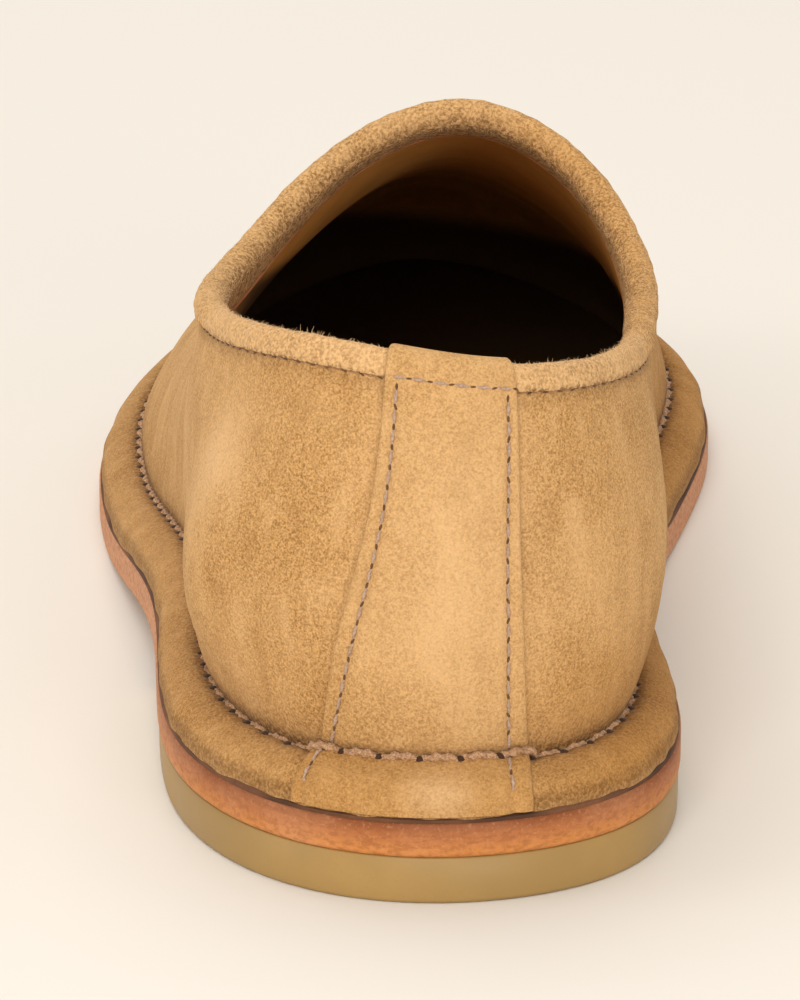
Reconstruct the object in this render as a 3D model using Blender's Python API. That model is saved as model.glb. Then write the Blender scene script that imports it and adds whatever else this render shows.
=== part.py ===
"""Slip-on loafer for the left foot: a suede upper stitched down to a leather sole with a rubber heel.

The shoe lies along +Y with its toe forward and its inner side towards +X, and it stands on z = 0.
Sizes are millimetres until a mesh is made.
"""

import math

import bmesh
import bpy
import numpy as np

MM = 0.001
GAP = 0.3  # between pieces that meet

# Driving sizes
LENGTH = 297.0
BALL_WIDTH = 106.0
INSTEP_HEIGHT = 87.0  # floor to the upper's own edge at the throat
HEEL_LIFT = 7.2  # rubber under the heel seat
TOE_SPRING = 8.0
OUTSOLE_THICK = 5.0
MIDSOLE_THICK = 0.5
INSOLE_THICK = 2.5
INSOLE_SKIVE = 1.3  # how far the sock's edge slants in, clear of the leaning wall
WALL_THICK = 2.2
FLANGE_WIDTH = 7.0  # sole edge to crease
FLANGE_THICK = 2.7
FLANGE_RISE = 3.8  # how far the flange climbs from its edge to the crease
FLANGE_CROWN = 1.6  # 1 is a straight slope, more is rounder
FLANGE_MARGIN = 0.5  # strip of sole that shows outside the flange
FLANGE_LIP = 0.45  # share of the flange's thickness at its very edge
FLANGE_ROUND = 0.3  # share of the flange's width in which its edge rounds down to the lip
BINDING_THICK = 1.0
BINDING_OUTER = 1.8  # depth of the binding below the topline, outside and inside
BINDING_INNER = 5.5
STRAP_THICK = 1.2
STRAP_EDGE_THICK = 0.7  # where the strap is pared to turn over the collar
STRAP_INNER = 6.0  # depth of the strap's turned end inside the collar
SOLE_ROUND = 0.8  # rounding of the lower edges of sole and heel
HEEL_TAPER = 0.4  # how far the rubber draws in below the leather

# Stations along the sole, as shares of the length
SEAT_END = 0.34
BALL_START = 0.60
BALL_END = 0.72
HEEL_BREAST = 0.33

# Sections round the shoe, from the heel by the outer side to the toe and back by the inner side.
# Sole edge and topline are shares of length, ball width and instep height. The wall between them is a
# cubic curve: its lower handle goes up and out from the crease, its upper one leads off the topline.
SECTION_COLUMNS = (
    "along", "across", "top_along", "top_across", "top_height",
    "up", "out", "lead_along", "lead_across", "lead_drop",
)
SECTIONS = {
    "heel_back": (0.000, 0.000, 0.044, 0.030, 0.878, 20.0, 4.5, -6.0, 0.3, 20.0),
    "heel_corner_outer": (0.034, -0.222, 0.069, -0.160, 0.896, 20.0, 5.0, -5.0, -3.0, 20.0),
    "heel_outer": (0.143, -0.371, 0.148, -0.284, 0.857, 18.0, 8.4, -1.0, -4.8, 18.0),
    "waist_outer": (0.342, -0.409, 0.246, -0.322, 0.821, 16.0, 0.0, 4.0, -4.6, 19.0),
    "ball_outer": (0.617, -0.511, 0.342, -0.266, 0.828, 17.0, -4.2, 12.0, -4.5, 24.0),
    "toe_outer": (0.874, -0.409, 0.422, -0.116, 0.942, 20.0, -5.8, 44.0, -6.0, 33.0),
    "toe_tip": (1.000, 0.000, 0.442, 0.071, 1.000, 28.0, -1.0, 58.0, -1.0, 30.0),
    "toe_inner": (0.903, 0.404, 0.417, 0.234, 0.919, 21.0, -2.7, 44.0, 6.0, 33.0),
    "ball_inner": (0.708, 0.475, 0.334, 0.317, 0.814, 19.0, -4.8, 12.0, 1.2, 22.0),
    "waist_inner": (0.400, 0.335, 0.236, 0.317, 0.790, 17.0, 2.2, 4.0, -0.5, 15.0),
    "heel_inner": (0.147, 0.358, 0.128, 0.276, 0.820, 18.0, 7.4, -1.0, 5.5, 18.0),
    "heel_corner_inner": (0.035, 0.244, 0.064, 0.174, 0.854, 20.0, 5.0, -5.0, 4.0, 20.0),
}
SECTION_SCALES = (LENGTH, BALL_WIDTH, LENGTH, BALL_WIDTH, INSTEP_HEIGHT, 1, 1, 1, 1, 1)

# Back strap: half widths to its outer and inner side at climbs from flange edge (-1) over crease (0) to
# topline (1).
STRAP_COLUMNS = ("climb", "outer_half", "inner_half")
STRAP = {
    "flange_edge": (-1.0, 23.0, 14.0),
    "crease": (0.0, 17.9, 13.0),
    "heel_bulge": (0.3, 15.5, 12.0),
    "middle": (0.6, 11.8, 10.6),
    "topline": (1.0, 9.2, 9.4),
}
STRAP_STEP = (0.87, 0.95)  # climbs between which the strap steps up onto the binding

# Mesh steps
STATIONS = 38  # along the shoe, closer at heel and toe
FLANGE_SHARES = (0.0, 0.08, 0.2, 0.4, 0.7, 1.0)
WALL_SHARES = (0.09, 0.2, 0.32, 0.45, 0.58, 0.7, 0.81, 0.91, 1.0)
TURN_STEPS = 4  # segments of a turn over the collar
STRAP_CLIMBS = tuple(share - 1 for share in FLANGE_SHARES) + (
    0.09, 0.2, 0.32, 0.45, 0.58, 0.7, 0.79, 0.87, 0.95, 0.975, 1.0,
)
STRAP_ACROSS = 9
FINE_STEPS = 600  # for finding places by their distance along the shoe
STRAP_REACH = 0.25  # sections either side of the heel seam where the strap's scale is taken
NUDGE = 1e-3
SHARP_ANGLE = math.radians(40)

COLLECTION = "loafer"
SUEDE = (0.62, 0.36, 0.14)
COLOURS = {
    "upper": (SUEDE, 0.95),
    "back_strap": (SUEDE, 0.95),
    "collar_binding": (SUEDE, 0.95),
    "insole": ((0.40, 0.19, 0.06), 0.55),
    "midsole": ((0.30, 0.12, 0.05), 0.7),
    "outsole": ((0.66, 0.28, 0.12), 0.6),
    "heel": ((0.40, 0.26, 0.10), 0.45),
}


class ClosedSpline:
    """Smooth closed curve through one row of values for each section."""

    def __init__(self, rows, spans):
        self.rows = rows
        self.spans = spans
        count = len(rows)
        system = np.zeros((count, count))
        pull = np.zeros_like(rows)
        for here in range(count):
            before = here - 1
            after = (here + 1) % count
            system[here, before] += spans[before]
            system[here, here] += 2 * (spans[before] + spans[here])
            system[here, after] += spans[here]
            rise_after = (rows[after] - rows[here]) / spans[here]
            rise_before = (rows[here] - rows[before]) / spans[before]
            pull[here] = 6 * (rise_after - rise_before)
        self.bends = np.linalg.solve(system, pull)

    def at(self, place):
        """Values at a place, counted in sections from the heel."""
        count = len(self.rows)
        place = np.asarray(place, float) % count
        here = np.floor(place).astype(int) % count
        after = (here + 1) % count
        far = (place - here)[..., None]
        near = 1 - far
        bend = (near**3 - near) * self.bends[here] + (far**3 - far) * self.bends[after]
        return near * self.rows[here] + far * self.rows[after] + self.spans[here][..., None] ** 2 / 6 * bend


def make_spline():
    """The shoe's sections in millimetres, spaced by the root of the distance between them."""
    rows = np.array(list(SECTIONS.values())) * SECTION_SCALES
    chords = np.roll(rows[:, :2], -1, axis=0) - rows[:, :2]
    return ClosedSpline(rows, np.sqrt(np.linalg.norm(chords, axis=1)))


SPLINE = make_spline()


def column(place, name):
    """One named column of the sections at a place."""
    return SPLINE.at(place)[..., SECTION_COLUMNS.index(name)]


def unit(vectors):
    """Vectors at length one."""
    return vectors / np.linalg.norm(vectors, axis=-1, keepdims=True)


def upright(flat, height):
    """Plan points with their heights."""
    return np.concatenate([flat, np.broadcast_to(height, flat.shape[:-1])[..., None]], axis=-1)


def edge_line(place):
    """Sole edge in plan."""
    return np.stack([column(place, "across"), column(place, "along")], axis=-1)


def outward(place):
    """Plan direction out of the sole's edge."""
    run = unit(edge_line(place + NUDGE) - edge_line(place - NUDGE))
    return np.stack([-run[..., 1], run[..., 0]], axis=-1)


def outline(place, inset):
    """Sole edge in plan, drawn in by an inset."""
    return edge_line(place) - inset * outward(place)


def ease(value):
    """Smooth step from 0 to 1."""
    value = np.clip(value, 0, 1)
    return value * value * (3 - 2 * value)


def tread(along):
    """Height of the leather sole's underside: heel seat, falling waist, flat ball and toe spring."""
    share = np.asarray(along) / LENGTH
    fall = ease((share - SEAT_END) / (BALL_START - SEAT_END))
    spring = np.clip((share - BALL_END) / (1 - BALL_END), 0, 1)
    return HEEL_LIFT * (1 - fall) + TOE_SPRING * spring**2


def seat(place):
    """Height of the flange's underside at the sole's edge."""
    return tread(column(place, "along")) + OUTSOLE_THICK + MIDSOLE_THICK + 2 * GAP


def flange_lift(share):
    """Climb of the flange's underside at a share of the way from its edge to the crease."""
    return FLANGE_RISE * (1 - (1 - share) ** FLANGE_CROWN)


def flange_line(place, share):
    """Plan line of the flange at a share of the way from its edge to the crease."""
    return outline(place, FLANGE_MARGIN + share * (FLANGE_WIDTH - FLANGE_MARGIN))


def flange_depth(share):
    """Thickness of the flange, rounded down to a lip at its edge."""
    inward = min(share / FLANGE_ROUND, 1.0)
    return FLANGE_THICK * (FLANGE_LIP + (1 - FLANGE_LIP) * math.sqrt(1 - (1 - inward) ** 2))


def flange(place, share, offset=0.0):
    """Top face of the flange, or points above it."""
    height = seat(place) + flange_lift(share) + flange_depth(share) + offset
    return upright(flange_line(place, share), height)


def topline(place):
    """The upper's own edge at the collar."""
    names = ("top_across", "top_along", "top_height")
    return np.stack([column(place, name) for name in names], axis=-1)


def wall(place, share):
    """Outer face of the upper at a share of the way from crease to topline."""
    share = np.asarray(share)[..., None]
    crease = flange(place, 1.0)
    top = topline(place)
    lower = crease + upright(outward(place) * column(place, "out")[..., None], column(place, "up"))
    lead = np.stack([column(place, "lead_across"), column(place, "lead_along")], axis=-1)
    upper = top + upright(lead, -column(place, "lead_drop"))
    rest = 1 - share
    return rest**3 * crease + 3 * rest**2 * share * lower + 3 * rest * share**2 * upper + share**3 * top


def wall_up(place, share):
    """Direction up the wall."""
    return unit(wall(place, share + NUDGE) - wall(place, share - NUDGE))


def wall_normal(place, share):
    """Direction out of the wall."""
    run = wall(place + NUDGE, share) - wall(place - NUDGE, share)
    return unit(np.cross(wall_up(place, share), run))


def wall_skin(place, share, offset):
    """Points off the upper's outer face, or behind it where the offset is negative."""
    return wall(place, share) + wall_normal(place, share) * offset


def wall_share_at(place, depth):
    """Share of the wall that lies a depth below the topline."""
    top = topline(place)
    slope = np.linalg.norm(top - wall(place, 1 - NUDGE), axis=-1) / NUDGE
    return 1 - depth / slope


def collar_turn(place, radius, angle):
    """Points on a round turn over the upper's edge, from outside (0) to inside (pi)."""
    middle = wall_skin(place, 1.0, -WALL_THICK / 2)
    side = wall_normal(place, 1.0) * math.cos(angle)
    return middle + radius * (side + wall_up(place, 1.0) * math.sin(angle))


def turn_angles():
    """Angles of the turn over the collar, ends left out."""
    return [math.pi * step / TURN_STEPS for step in range(1, TURN_STEPS)]


def places_at(alongs):
    """Places at distances along the shoe, up its outer side and back down its inner side."""
    fine = np.linspace(0, len(SECTIONS) / 2, FINE_STEPS)
    sides = []
    for side in (fine, -fine):
        reached = np.maximum.accumulate(column(side, "along"))
        sides.append(np.interp(alongs, reached, side))
    return np.concatenate([sides[0], sides[1][::-1]])


STATION_ALONGS = LENGTH * (1 - np.cos(np.pi * (np.arange(STATIONS) + 0.5) / STATIONS)) / 2
COLUMNS = places_at(STATION_ALONGS)
SOLE_EDGE = edge_line(COLUMNS)
CENTRE = np.append((SOLE_EDGE.min(axis=0) + SOLE_EDGE.max(axis=0)) / 2, 0.0)


def clear_scene():
    """Start from an empty scene."""
    for obj in list(bpy.data.objects):
        bpy.data.objects.remove(obj, do_unlink=True)


def make_material(name):
    """Plain finish of one piece."""
    colour, roughness = COLOURS[name]
    material = bpy.data.materials.new(name)
    material.use_nodes = True
    shader = material.node_tree.nodes["Principled BSDF"]
    shader.inputs["Base Color"].default_value = (*colour, 1.0)
    shader.inputs["Roughness"].default_value = roughness
    shader.inputs["Metallic"].default_value = 0.0
    return material


def loft(name, loops, collection, closed=False):
    """Closed body through a run of loops. An open run ends in rungs across its first and last loop."""
    count, size = loops.shape[:2]
    faces = []
    for step in range(count if closed else count - 1):
        here = step * size
        there = (step + 1) % count * size
        for point in range(size):
            after = (point + 1) % size
            faces.append((here + point, here + after, there + after, there + point))
    if not closed:
        for first in (0, (count - 1) * size):
            last = first + size - 1
            for rung in range(size // 2 - 1):
                faces.append((first + rung, first + rung + 1, last - rung - 1, last - rung))
    mesh = bpy.data.meshes.new(name)
    mesh.from_pydata(((loops.reshape(-1, 3) - CENTRE) * MM).tolist(), [], faces)
    body = bmesh.new()
    body.from_mesh(mesh)
    bmesh.ops.recalc_face_normals(body, faces=body.faces)
    body.to_mesh(mesh)
    body.free()
    mesh.shade_smooth()
    mesh.set_sharp_from_angle(angle=SHARP_ANGLE)
    mesh.materials.append(make_material(name))
    obj = bpy.data.objects.new(name, mesh)
    collection.objects.link(obj)
    return obj


def build_heel(collection):
    """Rubber block under the heel seat, cut straight at the breast."""
    breast = HEEL_BREAST * LENGTH
    around = places_at(np.append(STATION_ALONGS[STATION_ALONGS < breast - SOLE_ROUND], breast))
    levels = ((HEEL_TAPER + SOLE_ROUND, 0.0), (HEEL_TAPER, SOLE_ROUND), (GAP, HEEL_LIFT - GAP))
    loops = np.array([upright(outline(around, inset), height) for inset, height in levels])
    return loft("heel", loops, collection)


def build_outsole(collection):
    """Leather sole with heel seat, arch, ball and toe spring."""
    under = tread(column(COLUMNS, "along"))
    loops = np.array([
        upright(outline(COLUMNS, SOLE_ROUND), under),
        upright(SOLE_EDGE, under + SOLE_ROUND),
        upright(SOLE_EDGE, under + OUTSOLE_THICK),
    ])
    return loft("outsole", loops, collection)


def build_midsole(collection):
    """Thin layer at the sole's edge, filled up under the flange and flat below the insole."""
    level = seat(COLUMNS) - GAP
    rim = [upright(flange_line(COLUMNS, share), level + flange_lift(share)) for share in FLANGE_SHARES]
    loops = [
        upright(outline(COLUMNS, FLANGE_MARGIN / 2), level - MIDSOLE_THICK),
        upright(outline(COLUMNS, FLANGE_MARGIN / 2), level),
    ]
    return loft("midsole", np.array(loops + rim[1:]), collection)


def build_insole(collection):
    """Leather sock on the midsole, inside the upper."""
    foot = FLANGE_WIDTH + WALL_THICK + 2 * GAP
    level = seat(COLUMNS) + FLANGE_RISE
    steps = ((foot, 0.0), (foot + INSOLE_SKIVE, INSOLE_THICK))
    loops = np.array([upright(outline(COLUMNS, inset), level + height) for inset, height in steps])
    return loft("insole", loops, collection)


def build_upper(collection):
    """Vamp and quarters in one hollow wall that turns out at the bottom into the stitched flange."""
    outer = [flange(COLUMNS, share) for share in FLANGE_SHARES]
    inner = [flange(COLUMNS, share, -flange_depth(share)) for share in FLANGE_SHARES]
    inner[-1] -= upright(outward(COLUMNS) * WALL_THICK, 0.0)
    for share in WALL_SHARES:
        outer.append(wall(COLUMNS, share))
        inner.append(wall_skin(COLUMNS, share, -WALL_THICK))
    return loft("upper", np.stack(outer + inner[::-1], axis=1), collection, closed=True)


def build_binding(collection):
    """Rolled binding that grips the upper's edge all round the collar."""
    outer_depths = (BINDING_OUTER, BINDING_OUTER / 2, 0.0)
    inner_depths = (0.0, BINDING_INNER / 2, BINDING_INNER)
    skins = []
    for offset in (GAP, GAP + BINDING_THICK):
        skin = [wall_skin(COLUMNS, wall_share_at(COLUMNS, depth), offset) for depth in outer_depths]
        skin += [collar_turn(COLUMNS, WALL_THICK / 2 + offset, angle) for angle in turn_angles()]
        behind = -WALL_THICK - offset
        skin += [wall_skin(COLUMNS, wall_share_at(COLUMNS, depth), behind) for depth in inner_depths]
        skins.append(skin)
    return loft("collar_binding", np.stack(skins[1] + skins[0][::-1], axis=1), collection, closed=True)


def strap_half(climb, side):
    """Half width of the strap at a climb, to one of its sides."""
    rows = np.array(list(STRAP.values()))
    climbs = rows[:, STRAP_COLUMNS.index("climb")]
    return np.interp(climb, climbs, rows[:, STRAP_COLUMNS.index(side)])


def strap_places(climb):
    """Places across the strap at a climb, from its inner to its outer side."""
    ends = np.array([-STRAP_REACH, STRAP_REACH])
    line = flange(ends, 1 + climb) if climb < 0 else wall(ends, climb)
    per_section = np.linalg.norm(line[1] - line[0]) / (2 * STRAP_REACH)
    widths = np.linspace(-strap_half(climb, "inner_half"), strap_half(climb, "outer_half"), STRAP_ACROSS)
    return widths / per_section


def build_strap(collection):
    """Strap over the heel seam, from the flange's edge up the back and over the binding."""
    over_binding = 2 * GAP + BINDING_THICK
    top_places = strap_places(1.0)
    skins = []
    for outer_face in (False, True):
        rows = []
        for climb in STRAP_CLIMBS:
            offset = np.interp(climb, STRAP_STEP, (GAP, over_binding))
            offset += outer_face * np.interp(climb, STRAP_STEP, (STRAP_THICK, STRAP_EDGE_THICK))
            places = strap_places(climb)
            if climb > 0:
                rows.append(wall_skin(places, climb, offset))
            elif climb == 0:
                rows.append(flange(places, 1.0, offset) + upright(outward(places) * offset, 0.0))
            else:
                rows.append(flange(places, 1 + climb, offset))
        rows += [collar_turn(top_places, WALL_THICK / 2 + offset, angle) for angle in turn_angles()]
        for depth in (0.0, STRAP_INNER / 2, STRAP_INNER):
            rows.append(wall_skin(top_places, wall_share_at(top_places, depth), -WALL_THICK - offset))
        skins.append(np.array(rows))
    loops = np.concatenate([skins[0], skins[1][:, ::-1]], axis=1)
    return loft("back_strap", loops, collection)


def main():
    """Build the shoe from the floor up."""
    clear_scene()
    collection = bpy.data.collections.new(COLLECTION)
    bpy.context.scene.collection.children.link(collection)
    for build in (
        build_heel, build_outsole, build_midsole, build_upper, build_insole, build_binding, build_strap,
    ):
        build(collection)


main()
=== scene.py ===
"""Looks of a suede slip-on loafer for the left foot, stitched down to a leather sole with a rubber heel.

The shoe lies along +Y with its toe forward and its inner side towards +X. A place counts sections round
the shoe from the back of the heel by the outer side, and a climb runs from -1 at the flange's edge over 0
at the crease to 1 at the topline. Sizes are millimetres until a mesh is made.
"""

import logging
import math
from dataclasses import astuple, dataclass, field
from enum import Enum
from functools import cached_property

import bmesh
import bpy
import numpy as np
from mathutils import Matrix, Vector


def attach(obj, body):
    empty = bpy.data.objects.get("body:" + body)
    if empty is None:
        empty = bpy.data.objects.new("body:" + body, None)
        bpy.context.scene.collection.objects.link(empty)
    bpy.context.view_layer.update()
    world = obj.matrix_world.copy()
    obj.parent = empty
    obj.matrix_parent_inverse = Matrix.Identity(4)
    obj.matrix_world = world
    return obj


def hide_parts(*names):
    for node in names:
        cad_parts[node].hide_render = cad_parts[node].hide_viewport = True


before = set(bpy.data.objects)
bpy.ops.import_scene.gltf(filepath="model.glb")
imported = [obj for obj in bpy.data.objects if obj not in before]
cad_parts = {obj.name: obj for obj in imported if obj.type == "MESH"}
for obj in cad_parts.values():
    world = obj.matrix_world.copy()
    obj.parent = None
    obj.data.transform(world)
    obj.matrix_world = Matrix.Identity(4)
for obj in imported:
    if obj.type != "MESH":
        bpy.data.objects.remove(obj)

Array = np.ndarray
Triple = tuple[float, float, float]
Layers = tuple[tuple[float, float], ...]  # strength and width of humps that add up
Mesh = bpy.types.Mesh
Material = bpy.types.Material
Socket = bpy.types.NodeSocket
Value = Socket | float | Triple

MM = 0.001
NUDGE = 1e-3  # step in place or climb over which a direction is read
SHARP_ANGLE = math.radians(50)
BODY = "root"
FLANGE_PITCH = 5.6  # millimetres between the holes of the flange seam
FLANGE_START = 0.35  # pitches from the heel seam to its first hole, towards the outer side
log = logging.getLogger("loafer")


class Slot(Enum):
    """Material slots of the shoe's record."""

    SUEDE = "suede"
    SOLE = "sole_leather"
    MIDSOLE = "midsole_leather"
    LINING = "lining_leather"
    RUBBER = "heel_rubber"


def unit(vectors: Array) -> Array:
    """Vectors at length one."""
    return vectors / np.linalg.norm(vectors, axis=-1, keepdims=True)


def upright(flat: Array, height: Array | float) -> Array:
    """Plan points with their heights."""
    return np.concatenate([flat, np.broadcast_to(height, flat.shape[:-1])[..., None]], axis=-1)


def ease(value: Array | float) -> Array:
    """Smooth step from 0 to 1."""
    value = np.clip(value, 0, 1)
    return value * value * (3 - 2 * value)


def bell(distance: Array | float, width: float) -> Array:
    """Soft hump that falls off with distance."""
    return np.exp(-((np.asarray(distance) / width) ** 2))


def bells(distance: Array | float, layers: Layers) -> Array:
    """Sum of soft humps."""
    return sum(strength * bell(distance, width) for strength, width in layers)


def rounded(value: Array | float) -> Array:
    """Quarter round from 0 up to 1."""
    return np.sqrt(1 - (1 - np.clip(value, 0, 1)) ** 2)


def smooth_through(value: Array | float, stops: Array, heights: Array) -> Array:
    """Smooth curve through a few stops, flat beyond its ends.

    Args:
        value: Where the curve is read.
        stops: Rising positions of the stops.
        heights: Heights at the stops.

    Returns:
        The curve's heights.
    """
    slopes = np.gradient(heights, stops)
    value = np.clip(value, stops[0], stops[-1])
    here = np.clip(np.searchsorted(stops, value, side="right") - 1, 0, len(stops) - 2)
    span = stops[here + 1] - stops[here]
    far = (value - stops[here]) / span
    near = 1 - far
    ends = near**2 * (1 + 2 * far) * heights[here] + far**2 * (1 + 2 * near) * heights[here + 1]
    return ends + span * far * near * (near * slopes[here] - far * slopes[here + 1])


@dataclass(frozen=True)
class Section:
    """One section round the shoe.

    Sole edge and topline are shares of length, ball width and instep height. The wall's lower handle goes
    up and out from the crease, its upper one leads off the topline, in millimetres.
    """

    along: float
    across: float
    top_along: float
    top_across: float
    top_height: float
    up: float
    out: float
    lead_along: float
    lead_across: float
    lead_drop: float


SECTIONS = {
    "heel_back": Section(0.000, 0.000, 0.044, 0.030, 0.878, 20.0, 4.5, -6.0, 0.3, 20.0),
    "heel_corner_outer": Section(0.034, -0.222, 0.069, -0.160, 0.896, 20.0, 5.0, -5.0, -3.0, 20.0),
    "heel_outer": Section(0.143, -0.371, 0.148, -0.284, 0.857, 18.0, 8.4, -1.0, -4.8, 18.0),
    "waist_outer": Section(0.342, -0.409, 0.246, -0.322, 0.821, 16.0, 0.0, 4.0, -4.6, 19.0),
    "ball_outer": Section(0.617, -0.511, 0.342, -0.266, 0.828, 17.0, -4.2, 12.0, -4.5, 24.0),
    "toe_outer": Section(0.874, -0.409, 0.422, -0.116, 0.942, 20.0, -5.8, 44.0, -6.0, 33.0),
    "toe_tip": Section(1.000, 0.000, 0.442, 0.071, 1.000, 28.0, -1.0, 58.0, -1.0, 30.0),
    "toe_inner": Section(0.903, 0.404, 0.417, 0.234, 0.919, 21.0, -2.7, 44.0, 6.0, 33.0),
    "ball_inner": Section(0.708, 0.475, 0.334, 0.317, 0.814, 19.0, -4.8, 12.0, 1.2, 22.0),
    "waist_inner": Section(0.400, 0.335, 0.236, 0.317, 0.790, 17.0, 2.2, 4.0, -0.5, 15.0),
    "heel_inner": Section(0.147, 0.358, 0.128, 0.276, 0.820, 18.0, 7.4, -1.0, 5.5, 18.0),
    "heel_corner_inner": Section(0.035, 0.244, 0.064, 0.174, 0.854, 20.0, 5.0, -5.0, 4.0, 20.0),
}


class ClosedSpline:
    """Smooth closed curve through one row of values for each section."""

    def __init__(self, rows: Array, spans: Array) -> None:
        """Works out the curve's bends.

        Args:
            rows: One row of values for each section.
            spans: Distance from each section to the next.
        """
        self.rows = rows
        self.spans = spans
        count = len(rows)
        system = np.zeros((count, count))
        pull = np.zeros_like(rows)
        for here in range(count):
            before = here - 1
            after = (here + 1) % count
            system[here, before] += spans[before]
            system[here, here] += 2 * (spans[before] + spans[here])
            system[here, after] += spans[here]
            rise_after = (rows[after] - rows[here]) / spans[here]
            rise_before = (rows[here] - rows[before]) / spans[before]
            pull[here] = 6 * (rise_after - rise_before)
        self.bends = np.linalg.solve(system, pull)

    def at(self, place: Array) -> Array:
        """Values at places.

        Args:
            place: Places, counted in sections.

        Returns:
            One row of values for each place.
        """
        count = len(self.rows)
        place = np.asarray(place, float) % count
        here = np.floor(place).astype(int) % count
        after = (here + 1) % count
        far = (place - here)[..., None]
        near = 1 - far
        bend = (near**3 - near) * self.bends[here] + (far**3 - far) * self.bends[after]
        return near * self.rows[here] + far * self.rows[after] + self.spans[here][..., None] ** 2 / 6 * bend


@dataclass(frozen=True)
class Crease:
    """Soft trough or ridge in the upper, from one (place, climb) to another."""

    start: tuple[float, float]
    end: tuple[float, float]
    width: float
    height: float


@dataclass(frozen=True)
class Rub:
    """Spot at a (place, climb) where the nap is painted paler: a painted highlight, in part also wear."""

    place: float
    climb: float
    width: float
    strength: float


# Spots of painted highlight, in part also wear, that make the nap paler.
RUBS = (
    Rub(-0.09, -0.90, 3.4, 0.50),
    Rub(0.06, -0.86, 3.4, 0.40),
    Rub(-0.02, 0.25, 13.0, 0.13),
    Rub(-0.04, 0.50, 13.0, 0.25),
    Rub(-0.04, 0.78, 12.0, 0.20),
    Rub(1.66, 0.68, 7.0, 0.55),
    Rub(2.90, 0.50, 18.0, 0.35),
)
CREASES = (
    Crease((1.75, 0.12), (1.55, 0.72), 11.0, 2.4),
    Crease((2.35, 0.06), (2.30, 0.80), 11.0, -2.2),
    Crease((3.05, 0.25), (3.15, 0.75), 14.0, 0.8),
    Crease((0.75, 0.55), (1.20, 0.80), 8.0, -0.5),
    Crease((11.30, 0.50), (10.90, 0.75), 8.0, -0.5),
    Crease((10.20, 0.30), (10.10, 0.80), 9.0, 0.6),
    Crease((9.60, 0.15), (9.50, 0.80), 10.0, -1.0),
    Crease((4.25, 0.35), (5.20, 0.62), 7.0, -0.7),
    Crease((4.40, 0.20), (5.30, 0.48), 6.0, 0.5),
    Crease((8.10, 0.30), (7.10, 0.62), 7.0, -0.7),
    Crease((8.00, 0.18), (7.00, 0.48), 6.0, 0.5),
)


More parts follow.
